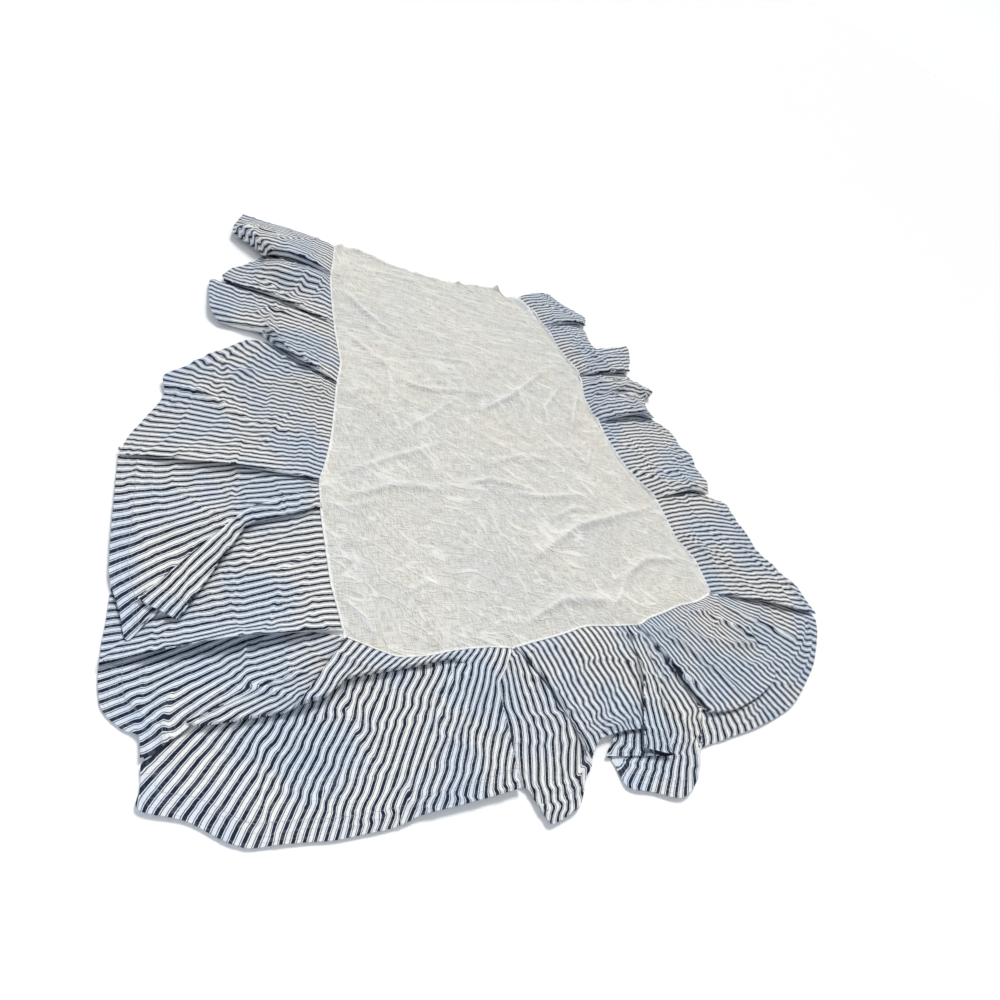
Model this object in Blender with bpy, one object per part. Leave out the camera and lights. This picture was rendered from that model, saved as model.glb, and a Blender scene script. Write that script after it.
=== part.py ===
"""A full-size bed skirt laid out loose on a floor: a thin platform cloth (the deck) that lies
between mattress and box spring, and three pleated skirts sewn round its sides and foot.
Metres, +Z up. The origin is under the middle of the deck, on the floor. +Y runs to the head end.

A skirt is a strip of cloth that is sewn to the deck along one long edge. It is described by its
ribs: lines of the cloth that run from the seam down to the hem, one for each fold or flat."""

import bmesh
import bpy
import numpy as np
from mathutils import Vector

CLOTH = 0.0015  # thickness of the sheets
LAYER = 0.003  # height of one layer of folded cloth above the next
GROUND = CLOTH / 2 + 0.00005  # middle of a sheet that lies on the floor
SEAM_GAP = 0.0006  # between the deck's edge and the top edge of a skirt
LOW = 0.6  # a layer whose level is below this is no higher than the deck
SOFT = 0.03  # a fold or a tuck shallower than this is only part turned over
DECK_STEPS = (18, 28)  # cells across and along the deck
DECK_BORDER = 0.02  # share of the deck on each side that lies between its cells and its edge

# The seam round the deck, as it lies: x, y.
LEFT_SEAM = [
    (-0.425, 0.990), (-0.455, 0.830), (-0.473, 0.750), (-0.487, 0.600), (-0.499, 0.420),
    (-0.503, 0.220), (-0.534, 0.078), (-0.558, -0.050), (-0.585, -0.180), (-0.620, -0.300),
    (-0.644, -0.376), (-0.650, -0.500), (-0.650, -0.700), (-0.642, -0.800), (-0.636, -0.880),
]
FOOT_SEAM = [
    (-0.636, -0.880), (-0.600, -0.902), (-0.550, -0.930), (-0.500, -0.952), (-0.420, -0.958),
    (-0.350, -0.952), (-0.250, -0.955), (-0.170, -0.966), (-0.100, -0.957), (0.000, -0.945),
    (0.100, -0.928), (0.180, -0.935), (0.290, -0.945), (0.350, -0.925), (0.420, -0.912),
    (0.500, -0.893), (0.580, -0.885), (0.640, -0.868), (0.668, -0.858),
]
RIGHT_SEAM = [
    (0.668, -0.858), (0.674, -0.790), (0.676, -0.720), (0.658, -0.660), (0.640, -0.604),
    (0.643, -0.550), (0.645, -0.430), (0.630, -0.390), (0.600, -0.335), (0.575, -0.270),
    (0.560, -0.190), (0.551, -0.100), (0.555, -0.020), (0.536, 0.030), (0.536, 0.110),
    (0.555, 0.190), (0.578, 0.275), (0.575, 0.310), (0.547, 0.395), (0.530, 0.480),
    (0.528, 0.570), (0.505, 0.650), (0.498, 0.720), (0.467, 0.770), (0.430, 0.820),
]
HEAD_EDGE = [
    (-0.425, 0.990), (-0.350, 0.985), (-0.280, 0.955), (-0.150, 0.900), (0.000, 0.865),
    (0.100, 0.855), (0.220, 0.865), (0.330, 0.870), (0.370, 0.810), (0.430, 0.820),
]

# One row for each rib. level: layers of the skirt under it. turn: how many layers the cloth goes
# down where it turns back along this rib (up, if negative). at: where it leaves the seam, as y on
# the sides and as x at the foot. bend: its middle, risen by rise. hem: its end, lifted by lift.
# fold: how far it turns back under itself at the bend. tuck: how far its hem is turned under.
LEFT_RIBS = [
    # level, turn, at, bend x, bend y, rise, hem x, hem y, lift, fold, tuck
    (0, 0, 0.985, -0.620, 1.045, 0.008, -0.797, 1.085, 0.008, 0, 0),
    (1, 0, 0.920, -0.800, 0.930, 0.045, -0.845, 0.915, 0.015, 0, 0),
    (2, 0, 0.870, -0.755, 0.860, 0.058, -0.780, 0.845, 0.004, 0, 0),
    (2, 1, 0.757, -0.660, 0.775, 0.055, -0.745, 0.790, 0.008, 0, 0),
    (1, 1, 0.775, -0.660, 0.830, 0.006, -0.720, 0.840, 0.000, 0, 0),
    (0, 0, 0.740, -0.620, 0.735, 0.030, -0.765, 0.765, 0.002, 0, 0),
    (0, 0, 0.690, -0.640, 0.665, 0.055, -0.805, 0.710, 0.010, 0, 0),
    (0, 0, 0.630, -0.660, 0.590, 0.022, -0.860, 0.665, 0.008, 0, 0),
    (1, 0, 0.550, -0.700, 0.570, 0.012, -0.890, 0.605, 0.010, 0, 0),
    (2, 1, 0.420, -0.720, 0.525, 0.014, -0.885, 0.585, 0.008, 0, 0),
    (1, 1, 0.430, -0.700, 0.540, 0.002, -0.870, 0.600, 0.000, 0, 0),
    (0, 0, 0.410, -0.720, 0.490, 0.008, -0.930, 0.585, 0.008, 0, 0),
    (0, 0, 0.360, -0.720, 0.430, 0.012, -0.937, 0.500, 0.018, 0, 0),
    (0, 0, 0.320, -0.730, 0.370, 0.018, -0.935, 0.410, 0.025, 0, 0),
    (0, 0, 0.270, -0.740, 0.325, 0.025, -0.900, 0.338, 0.010, 0, 0),
    (1, 0, 0.220, -0.700, 0.270, 0.018, -0.800, 0.325, 0.005, 0, 0),
    (1, 0, 0.180, -0.660, 0.225, 0.018, -0.745, 0.275, 0.012, 0, 0.03),
    (2, 1, 0.085, -0.650, 0.165, 0.022, -0.735, 0.250, 0.012, 0, 0),
    (1, 1, 0.100, -0.640, 0.190, 0.002, -0.720, 0.265, 0.000, 0, 0),
    (0, 0, 0.060, -0.700, 0.115, 0.010, -0.800, 0.265, 0.006, 0, 0),
    (0, 0, 0.040, -0.740, 0.085, 0.012, -0.900, 0.200, 0.006, 0, 0),
    (0, 0, 0.010, -0.790, 0.045, 0.010, -1.000, 0.105, 0.008, 0, 0),
    (0, 0, -0.030, -0.800, -0.005, 0.009, -1.070, 0.030, 0.012, 0, 0),
    (0, 0, -0.080, -0.820, -0.070, 0.005, -1.065, -0.020, 0.003, 0, 0),
    (0, 0, -0.170, -0.840, -0.160, 0.008, -1.120, -0.150, 0.004, 0, 0),
    (3, 0, -0.260, -0.860, -0.240, 0.006, -1.150, -0.220, 0.003, 0, 0),
    (4, 1, -0.365, -0.880, -0.325, 0.014, -1.165, -0.285, 0.003, 0, 0),
    (3, 1, -0.350, -0.880, -0.285, 0.000, -1.170, -0.255, 0.000, 0, 0),
    (2, 0, -0.378, -0.880, -0.365, 0.002, -1.170, -0.360, 0.000, 0, 0),
    (2, 0, -0.382, -0.900, -0.440, 0.004, -1.170, -0.500, 0.000, 0, 0),
    (2, 0, -0.384, -0.930, -0.495, 0.003, -1.168, -0.640, 0.000, 0, 0),
    (2, 0, -0.387, -0.970, -0.568, 0.003, -1.140, -0.760, 0.000, 0, 0),
    (2, 0, -0.389, -0.990, -0.622, 0.003, -1.120, -0.835, 0.000, 0, 0),
    (2, -1, -0.390, -0.940, -0.578, 0.003, -1.050, -0.825, 0.000, 0, 0),
    (3, -1, -0.390, -0.860, -0.485, 0.005, -1.105, -0.735, 0.004, 0, 0),
    (4, 3, -0.460, -0.860, -0.535, 0.002, -1.020, -0.800, 0.001, 0, 0),
    (1, 1, -0.420, -0.880, -0.470, 0.000, -1.150, -0.560, 0.000, 0, 0),
    (0, 0, -0.500, -0.860, -0.550, 0.002, -1.150, -0.600, 0.000, 0, 0),
    (0, 0, -0.600, -0.860, -0.635, 0.002, -1.160, -0.680, 0.000, 0, 0),
    (0, 0, -0.700, -0.880, -0.735, 0.002, -1.165, -0.775, 0.000, 0, 0),
    (1, 0, -0.780, -0.880, -0.805, 0.003, -1.170, -0.840, 0.000, 0, 0),
    (2, 1, -0.862, -0.880, -0.865, 0.012, -1.170, -0.885, 0.004, 0, 0),
    (1, 0, -0.850, -0.900, -0.835, 0.000, -1.170, -0.855, 0.000, 0, 0),
]
FOOT_RIBS = [
    # level, turn, at, bend x, bend y, rise, hem x, hem y, lift, fold, tuck
    (0, 0, -0.633, -0.900, -0.862, 0.000, -1.172, -0.885, 0.000, 0, 0),
    (0, 0, -0.632, -0.900, -0.890, 0.003, -1.165, -0.970, 0.000, 0, 0),
    (0, 0, -0.630, -0.900, -0.930, 0.010, -1.120, -1.035, 0.000, 0, 0),
    (1, 0, -0.615, -0.880, -0.990, 0.016, -1.085, -1.060, 0.003, 0, 0),
    (2, 0, -0.600, -1.000, -1.045, 0.010, -1.083, -1.120, 0.002, 0.04, 0.05),
    (2, 0, -0.595, -0.960, -1.055, 0.012, -1.089, -1.190, 0.000, 0.05, 0),
    (2, 0, -0.590, -0.880, -1.056, 0.015, -1.000, -1.240, 0.000, 0.05, 0),
    (2, 0, -0.580, -0.790, -1.055, 0.016, -0.920, -1.300, 0.000, 0.05, 0),
    (3, 0, -0.600, -0.780, -1.050, 0.018, -0.905, -1.308, 0.000, 0.05, 0),
    (4, 0, -0.633, -0.770, -1.045, 0.020, -0.890, -1.315, 0.000, 0.05, 0),
    (4, 0, -0.600, -0.710, -1.035, 0.020, -0.835, -1.322, 0.000, 0.05, 0),
    (3, 0, -0.550, -0.640, -0.995, 0.018, -0.780, -1.330, 0.000, 0.045, 0),
    (2, 0, -0.500, -0.560, -0.990, 0.016, -0.720, -1.340, 0.000, 0.04, 0),
    (2, 0, -0.420, -0.470, -0.987, 0.012, -0.660, -1.343, 0.000, 0.035, 0),
    (2, 0, -0.340, -0.375, -0.978, 0.010, -0.600, -1.345, 0.000, 0.03, 0),
    (2, 0, -0.265, -0.340, -1.030, 0.008, -0.530, -1.335, 0.000, 0, 0),
    (2, 0, -0.215, -0.300, -1.070, 0.008, -0.420, -1.335, 0.003, 0, 0),
    (2, 1, -0.173, -0.262, -1.090, 0.010, -0.270, -1.330, 0.004, 0, 0),
    (1, 1, -0.200, -0.290, -1.090, 0.000, -0.310, -1.310, 0.000, 0, 0),
    (0, 0, -0.185, -0.232, -1.150, 0.003, -0.255, -1.335, 0.004, 0, 0),
    (0, 0, -0.172, -0.185, -1.200, 0.006, -0.240, -1.375, 0.006, 0, 0),
    (0, 0, -0.166, -0.140, -1.220, 0.008, -0.215, -1.425, 0.005, 0, 0),
    (0, 0, -0.158, -0.090, -1.235, 0.008, -0.130, -1.405, 0.004, 0, 0),
    (0, -1, -0.150, -0.035, -1.250, 0.002, -0.065, -1.330, 0.002, 0, 0),
    (1, -1, -0.163, -0.105, -1.090, 0.006, -0.048, -1.300, 0.004, 0, 0),
    (2, 0, -0.100, -0.065, -1.090, 0.008, 0.000, -1.260, 0.006, 0, 0),
    (2, 0, -0.030, -0.010, -1.080, 0.008, 0.050, -1.256, 0.006, 0, 0),
    (2, 0, 0.040, 0.060, -1.070, 0.006, 0.100, -1.256, 0.008, 0, 0),
    (2, 0, 0.110, 0.135, -1.060, 0.008, 0.140, -1.260, 0.008, 0, 0),
    (2, 0, 0.180, 0.195, -1.060, 0.003, 0.160, -1.285, 0.003, 0, 0),
    (2, -1, 0.225, 0.225, -1.080, 0.002, 0.180, -1.290, 0.003, 0, 0),
    (3, -1, 0.247, 0.215, -1.110, 0.010, 0.118, -1.310, 0.008, 0, 0),
    (4, 3, 0.283, 0.268, -1.120, 0.001, 0.205, -1.345, 0.001, 0, 0),
    (1, 1, 0.262, 0.195, -1.130, 0.000, 0.000, -1.305, 0.000, 0, 0),
    (0, 0, 0.270, 0.200, -1.200, 0.000, 0.030, -1.385, 0.001, 0, 0),
    (0, 0, 0.278, 0.250, -1.290, 0.002, 0.110, -1.420, 0.003, 0, 0),
    (0, 0, 0.284, 0.285, -1.290, 0.005, 0.190, -1.450, 0.004, 0, 0),
    (0, 0, 0.288, 0.315, -1.250, 0.008, 0.260, -1.420, 0.005, 0, 0),
    (0, 0, 0.293, 0.365, -1.220, 0.003, 0.300, -1.345, 0.002, 0, 0),
    (3, 0, 0.292, 0.405, -1.250, 0.008, 0.335, -1.342, 0.000, 0.045, 0),
    (2, 0, 0.350, 0.500, -1.262, 0.010, 0.460, -1.334, 0.000, 0.045, 0),
    (2, 0, 0.420, 0.600, -1.247, 0.010, 0.600, -1.322, 0.000, 0.045, 0),
    (2, 0, 0.480, 0.680, -1.222, 0.008, 0.710, -1.303, 0.000, 0.04, 0),
    (2, 0, 0.530, 0.740, -1.190, 0.006, 0.790, -1.277, 0.000, 0.02, 0),
    (1, 0, 0.570, 0.790, -1.120, 0.006, 0.870, -1.235, 0.000, 0, 0),
    (1, 0, 0.620, 0.850, -1.060, 0.006, 0.960, -1.180, 0.000, 0, 0),
    (1, 0, 0.650, 0.910, -1.010, 0.005, 1.040, -1.105, 0.000, 0, 0),
    (0, 0, 0.660, 0.940, -0.960, 0.003, 1.100, -1.040, 0.000, 0, 0),
    (0, 0, 0.665, 0.950, -0.920, 0.001, 1.125, -0.985, 0.000, 0, 0),
]
RIGHT_RIBS = [
    # level, turn, at, bend x, bend y, rise, hem x, hem y, lift, fold, tuck
    (1, 0, -0.848, 0.920, -0.895, 0.000, 1.130, -0.960, 0.000, 0, 0),
    (1, -1, -0.857, 0.900, -0.925, 0.012, 1.128, -0.993, 0.000, 0, 0),
    (2, 0, -0.830, 0.920, -0.860, 0.010, 1.118, -0.870, 0.003, 0, 0),
    (1, 0, -0.770, 0.900, -0.790, 0.008, 1.065, -0.785, 0.004, 0, 0.03),
    (1, 0, -0.710, 0.880, -0.715, 0.010, 1.020, -0.710, 0.006, 0, 0.06),
    (1, 0, -0.650, 0.860, -0.650, 0.010, 1.010, -0.650, 0.008, 0, 0.10),
    (1, 0, -0.600, 0.860, -0.580, 0.010, 0.998, -0.585, 0.008, 0, 0.12),
    (1, 0, -0.530, 0.870, -0.510, 0.010, 0.995, -0.530, 0.008, 0, 0.12),
    (1, 0, -0.470, 0.880, -0.455, 0.010, 1.000, -0.485, 0.008, 0, 0.12),
    (0, -1, -0.415, 0.850, -0.380, 0.000, 0.930, -0.405, 0.000, 0, 0),
    (1, -1, -0.430, 0.840, -0.405, 0.022, 0.930, -0.420, 0.006, 0, 0),
    (2, 0, -0.360, 0.830, -0.330, 0.014, 0.960, -0.350, 0.006, 0, 0.06),
    (2, 0, -0.300, 0.820, -0.265, 0.008, 0.945, -0.280, 0.006, 0, 0.08),
    (2, 0, -0.220, 0.820, -0.190, 0.008, 0.960, -0.200, 0.006, 0, 0.08),
    (2, 0, -0.150, 0.800, -0.130, 0.008, 0.930, -0.140, 0.006, 0, 0.08),
    (1, 0, -0.080, 0.800, -0.065, 0.008, 0.930, -0.075, 0.006, 0, 0.08),
    (0, -1, 0.010, 0.780, 0.040, 0.000, 0.870, 0.040, 0.000, 0, 0),
    (1, -1, -0.018, 0.765, 0.020, 0.030, 0.870, 0.020, 0.006, 0, 0),
    (2, 0, 0.050, 0.750, 0.095, 0.028, 0.860, 0.105, 0.006, 0, 0.05),
    (2, 0, 0.110, 0.750, 0.150, 0.012, 0.870, 0.140, 0.008, 0, 0.06),
    (2, 0, 0.155, 0.770, 0.170, 0.030, 0.930, 0.170, 0.014, 0, 0.08),
    (2, 0, 0.200, 0.790, 0.195, 0.040, 0.935, 0.180, 0.022, 0, 0.08),
    (1, 0, 0.240, 0.790, 0.240, 0.018, 0.885, 0.250, 0.008, 0, 0.05),
    (0, -1, 0.295, 0.790, 0.320, 0.000, 0.870, 0.345, 0.000, 0, 0),
    (1, -1, 0.277, 0.760, 0.295, 0.018, 0.885, 0.330, 0.010, 0, 0),
    (2, 0, 0.310, 0.780, 0.375, 0.018, 0.935, 0.430, 0.006, 0, 0.04),
    (2, 0, 0.350, 0.780, 0.430, 0.018, 0.955, 0.495, 0.008, 0, 0.03),
    (2, 0, 0.385, 0.760, 0.460, 0.018, 0.955, 0.520, 0.006, 0, 0.03),
    (2, 0, 0.400, 0.700, 0.450, 0.012, 0.760, 0.475, 0.006, 0, 0.05),
    (2, 0, 0.460, 0.660, 0.495, 0.012, 0.735, 0.510, 0.008, 0, 0.10),
    (2, 0, 0.530, 0.650, 0.545, 0.012, 0.735, 0.565, 0.008, 0, 0.12),
    (1, 0, 0.590, 0.660, 0.600, 0.010, 0.745, 0.600, 0.008, 0, 0.10),
    (0, -1, 0.635, 0.680, 0.670, 0.000, 0.750, 0.672, 0.000, 0, 0),
    (1, -1, 0.610, 0.700, 0.655, 0.018, 0.770, 0.655, 0.008, 0, 0),
    (2, 0, 0.680, 0.680, 0.710, 0.014, 0.785, 0.705, 0.006, 0, 0.05),
    (1, 0, 0.740, 0.650, 0.765, 0.010, 0.755, 0.760, 0.006, 0, 0.06),
    (1, 0, 0.790, 0.600, 0.830, 0.010, 0.695, 0.810, 0.006, 0, 0.06),
    (0, 0, 0.815, 0.550, 0.875, 0.008, 0.645, 0.900, 0.006, 0, 0.04),
]


def between(points, across, value):
    """The point of a seam line where its x (across 0) or its y (across 1) has this value."""
    line = np.array(sorted(points, key=lambda point: point[across]))
    other = float(np.interp(value, line[:, across], line[:, 1 - across]))
    return np.array((value, other) if across == 0 else (other, value))


def unit(vector):
    return vector / max(float(np.hypot(*vector)), 1e-6)


def rib_points(row, level, seam_line, across):
    """The middle of the cloth along one rib, from seam to hem and round under a tuck."""
    _, _, at, bend_x, bend_y, rise, hem_x, hem_y, lift, fold, tuck = row
    bend = np.array((bend_x, bend_y))
    hem = np.array((hem_x, hem_y))
    seam = between(seam_line, across, at)
    down = unit(bend - seam)
    seam = seam + down * SEAM_GAP
    onward = unit(hem - bend)
    folded = min(1.0, fold / SOFT)
    tucked = min(1.0, tuck / SOFT)
    flat = 1 - folded
    upper = GROUND + (level + tucked) * LAYER
    lower = GROUND + (level * flat + tucked) * LAYER
    middle = (upper + lower) / 2
    end = GROUND + level * flat * LAYER
    back = bend - down * fold
    onward = onward * min(1.0, float(np.hypot(*(hem - bend))) / 0.12)
    below = back + onward * 0.042 * flat
    places = [
        (seam, upper),
        ((seam + bend) / 2, upper + rise * 0.75),
        (bend, upper + rise),
        (bend + onward * 0.012 * flat, middle + rise * (0.4 + 0.6 * flat)),
        (back + onward * 0.030 * flat, middle + rise * flat),
        (below, lower + rise * flat),
        ((below + hem) / 2, lower + (rise * flat + lift) / 2),
        (hem - onward * 0.020 * (1 - tucked), lower + lift),
        (hem - onward * 0.010 * (1 - tucked), end + lift * (1 - tucked)),
        (hem - unit(hem - bend) * tuck, end + lift * (1 - tucked)),
    ]
    return [Vector((place[0], place[1], height)) for place, height in places]


def rib_rows(rows):
    """The level and the row of every rib: one between each two, and a second where one turns."""
    ribs = []
    for row, following in zip(rows, rows[1:] + [None]):
        level, turn = row[:2]
        ribs.append((level, row))
        if turn:
            ribs.append((level - turn, row))
        if following:
            halfway = (np.array(row) + np.array(following)) / 2
            ribs.append(((level - turn + following[0]) / 2, halfway))
    return ribs


def new_object(name, mesh_data, color, roughness):
    mesh = bpy.data.meshes.new(name)
    mesh_data.to_mesh(mesh)
    mesh_data.free()
    obj = bpy.data.objects.new(name, mesh)
    bpy.context.scene.collection.objects.link(obj)
    material = bpy.data.materials.new(name)
    material.use_nodes = True
    shader = material.node_tree.nodes["Principled BSDF"]
    shader.inputs["Base Color"].default_value = (*color, 1)
    shader.inputs["Roughness"].default_value = roughness
    shader.inputs["Metallic"].default_value = 0
    mesh.materials.append(material)
    return obj


def thicken(obj):
    solid = obj.modifiers.new("Cloth", "SOLIDIFY")
    solid.thickness = CLOTH
    solid.offset = 0
    solid.use_rim = True


def sheet_through(lines):
    """A bmesh of one sheet through lines of points that all have the same count."""
    sheet = bmesh.new()
    grid = [[sheet.verts.new(point) for point in line] for line in lines]
    for first, second in zip(grid, grid[1:]):
        for a, b, c, d in zip(first, first[1:], second[1:], second):
            sheet.faces.new((a, b, c, d))
    bmesh.ops.recalc_face_normals(sheet, faces=sheet.faces)
    return sheet


def make_skirt(name, rows, seam_line, across):
    sheet = sheet_through([rib_points(row, level, seam_line, across) for level, row in rib_rows(rows)])
    thicken(new_object(name, sheet, (0.62, 0.66, 0.74), 0.85))


def along(points, share):
    """The point at this share of the length of a line."""
    line = np.array(points)
    length = np.concatenate([[0], np.cumsum(np.hypot(*np.diff(line, axis=0).T))])
    return np.array([np.interp(share * length[-1], length, line[:, i]) for i in (0, 1)])


def deck_height(x, y):
    """Long soft creases that run over the deck, the rest of which lies flat."""
    creases = [
        # start x, start y, end x, end y, height, half width
        (-0.55, -0.78, -0.42, -0.93, 0.003, 0.012),
        (0.46, 0.05, 0.53, 0.24, 0.006, 0.018),
        (0.40, 0.02, 0.50, 0.30, 0.004, 0.015),
        (-0.30, 0.55, -0.38, 0.75, 0.004, 0.020),
        (0.38, 0.77, 0.49, 0.66, 0.010, 0.016),
        (-0.20, 0.35, 0.25, 0.25, 0.003, 0.020),
        (-0.35, -0.25, 0.10, -0.40, 0.003, 0.020),
    ]
    total = 0.0
    for start_x, start_y, end_x, end_y, height, half in creases:
        run = np.array((end_x - start_x, end_y - start_y))
        share = np.clip(((x - start_x) * run[0] + (y - start_y) * run[1]) / (run @ run), 0, 1)
        away = np.hypot(x - start_x - share * run[0], y - start_y - share * run[1])
        total += height * max(0.0, 1 - away / (2 * half))
    return total


def seam_edge(rows, seam_line, across):
    """The deck's edge beside a skirt: it bends where the skirt's lowest layer does, if that is low."""
    places = [row[2] for level, row in rib_rows(rows) if level < LOW]
    covered = []
    for (level, row), (next_level, next_row) in zip(rib_rows(rows), rib_rows(rows)[1:]):
        if level < LOW and next_level < LOW:
            covered.append(sorted((row[2], next_row[2])))
    for point in seam_line:
        near = min(abs(point[across] - place) for place in places) < 0.012
        if not near and not any(low < point[across] < high for low, high in covered):
            places.append(point[across])
    ordered = sorted(set(round(float(place), 5) for place in places))
    kept = [ordered[0]]
    for place in ordered[1:]:
        if place - kept[-1] > 0.0005:
            kept.append(place)
    return [tuple(between(seam_line, across, place)) for place in kept]


def coons_point(u, v):
    """A point of the deck, u of the way to the right and v of the way to the head end."""
    left = along(LEFT_SEAM[::-1], v)
    right = along(RIGHT_SEAM, v)
    foot = along(FOOT_SEAM, u)
    head = along(HEAD_EDGE, u)
    corners = (np.array(FOOT_SEAM[0]) * (1 - u) + np.array(FOOT_SEAM[-1]) * u) * (1 - v)
    corners += (np.array(HEAD_EDGE[0]) * (1 - u) + np.array(HEAD_EDGE[-1]) * u) * v
    return left * (1 - u) + right * u + foot * (1 - v) + head * v - corners


def make_deck():
    """A grid that fills most of the deck, and a border from it to the edges of the skirts."""
    across, along_deck = DECK_STEPS
    lines = []
    for j in range(along_deck + 1):
        v = DECK_BORDER + (1 - 2 * DECK_BORDER) * j / along_deck
        line = []
        for i in range(across + 1):
            u = DECK_BORDER + (1 - 2 * DECK_BORDER) * i / across
            place = coons_point(u, v)
            line.append(Vector((*place, GROUND + deck_height(*place))))
        lines.append(line)
    sheet = sheet_through(lines)
    inner = [edge for edge in sheet.edges if edge.is_boundary]
    edge_points = seam_edge(LEFT_RIBS, LEFT_SEAM, 1)[::-1]
    edge_points += seam_edge(FOOT_RIBS, FOOT_SEAM, 0)
    edge_points += seam_edge(RIGHT_RIBS, RIGHT_SEAM, 1)
    edge_points += HEAD_EDGE[::-1]
    corners = [sheet.verts.new((*point, GROUND)) for point in edge_points]
    outer = [sheet.edges.new(pair) for pair in zip(corners, corners[1:] + corners[:1])]
    bmesh.ops.triangle_fill(sheet, use_beauty=True, use_dissolve=False, edges=inner + outer)
    bmesh.ops.recalc_face_normals(sheet, faces=sheet.faces)
    thicken(new_object("deck", sheet, (0.80, 0.78, 0.72), 0.9))


for old in list(bpy.data.objects):
    bpy.data.objects.remove(old)
make_deck()
make_skirt("skirt_left", LEFT_RIBS, LEFT_SEAM, 1)
make_skirt("skirt_foot", FOOT_RIBS, FOOT_SEAM, 0)
make_skirt("skirt_right", RIGHT_RIBS, RIGHT_SEAM, 1)
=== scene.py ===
# %% [markdown]
# # A bed skirt, laid out loose on a floor
# A bed skirt hides the box spring of a bed. A thin platform cloth, the deck, lies between mattress
# and box spring, and a pleated skirt hangs from its two sides and its foot. Here it is off the bed,
# spread on a floor: the deck lies nearly flat and the skirts fan out round it in loose folds.
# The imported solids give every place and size. This script dresses them: each cloth is made again
# as a finer sheet on the same folds, with its wrinkles, its hem and its woven pattern. Lengths are
# in metres, where nothing else is said.

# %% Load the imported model
import math
import random

import bmesh
import bpy
import numpy as np
from mathutils import Matrix, Vector, noise
from mathutils.bvhtree import BVHTree


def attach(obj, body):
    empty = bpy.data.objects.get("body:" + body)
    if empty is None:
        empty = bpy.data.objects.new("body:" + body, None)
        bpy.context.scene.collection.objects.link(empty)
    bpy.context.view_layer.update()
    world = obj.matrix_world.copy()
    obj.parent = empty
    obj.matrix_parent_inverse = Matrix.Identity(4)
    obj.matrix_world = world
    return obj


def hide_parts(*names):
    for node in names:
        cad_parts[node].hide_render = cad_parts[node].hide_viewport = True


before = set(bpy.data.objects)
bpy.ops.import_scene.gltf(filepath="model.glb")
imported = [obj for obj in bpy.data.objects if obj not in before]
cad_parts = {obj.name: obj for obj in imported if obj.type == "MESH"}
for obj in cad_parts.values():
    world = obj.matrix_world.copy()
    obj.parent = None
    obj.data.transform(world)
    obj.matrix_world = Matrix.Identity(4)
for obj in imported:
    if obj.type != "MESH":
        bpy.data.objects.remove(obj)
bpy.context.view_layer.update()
print("nodes:", ", ".join(sorted(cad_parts)))

# %% [markdown]
# ## The view
# The cloth is seen from a standing person's height, beyond its left foot corner, with the head of
# the person tilted, so that the deck runs away almost straight up. A camera is a matrix: its
# columns are the directions of its right, its top and its back, and its place. A wide lens fits
# the whole cloth from so near.

# %% Camera
EYE = Vector((-0.984, -1.551, 1.469))
RIGHT = Vector((0.891103, -0.277175, 0.359318))
TOP = Vector((0.002062, 0.794261, 0.607573))
BACK = RIGHT.cross(TOP)
LENS_MM = 21.6
SENSOR_MM = 36


def add_object(name, data):
    """A new object in the scene."""
    item = bpy.data.objects.new(name, data)
    bpy.context.scene.collection.objects.link(item)
    return item


def set_camera():
    camera = add_object("camera", bpy.data.cameras.new("camera"))
    turn = Matrix((RIGHT, TOP, BACK)).transposed().to_4x4()
    camera.matrix_world = Matrix.Translation(EYE) @ turn
    camera.data.sensor_width = SENSOR_MM
    camera.data.lens = LENS_MM
    camera.data.clip_start = 0.01
    bpy.context.scene.camera = camera
    return camera


print("camera looks from", [round(value, 2) for value in set_camera().location])

# %% [markdown]
# ## Finishes in Python
# A material is a net of nodes, and sums are easier to read as sums. The small class Number wraps
# one socket, so that `1 - mask * 0.5` adds its Math nodes by itself. The class Finish starts a
# material. Its method `add` makes any node, first its settings and then its sockets, and the
# methods after it make the nodes that are used again and again.

# %% Number and Finish
class Number:
    """The value of one socket, with the sums that are used on it."""

    def __init__(self, finish, socket):
        self.finish = finish
        self.socket = socket

    def math(self, operation, *others):
        values = dict(enumerate((self, *others)))
        return self.finish.number("ShaderNodeMath", {"operation": operation}, values)

    def __add__(self, other):
        return self.math("ADD", other)

    __radd__ = __add__

    def __sub__(self, other):
        return self.math("SUBTRACT", other)

    def __rsub__(self, other):
        return (self * -1) + other

    def __mul__(self, other):
        return self.math("MULTIPLY", other)

    def __truediv__(self, other):
        return self.math("DIVIDE", other)

    def __abs__(self):
        return self.math("ABSOLUTE")

    def fraction(self):
        return self.math("FRACT")

    def largest(self, other):
        return self.math("MAXIMUM", other)

    def fall(self, start, end):
        """1 where this is below start, 0 above end, and a smooth slope between."""
        sockets = {"Value": self, "From Min": start, "From Max": end, "To Min": 1.0, "To Max": 0.0}
        return self.finish.number("ShaderNodeMapRange", {"interpolation_type": "SMOOTHSTEP"}, sockets)


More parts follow.
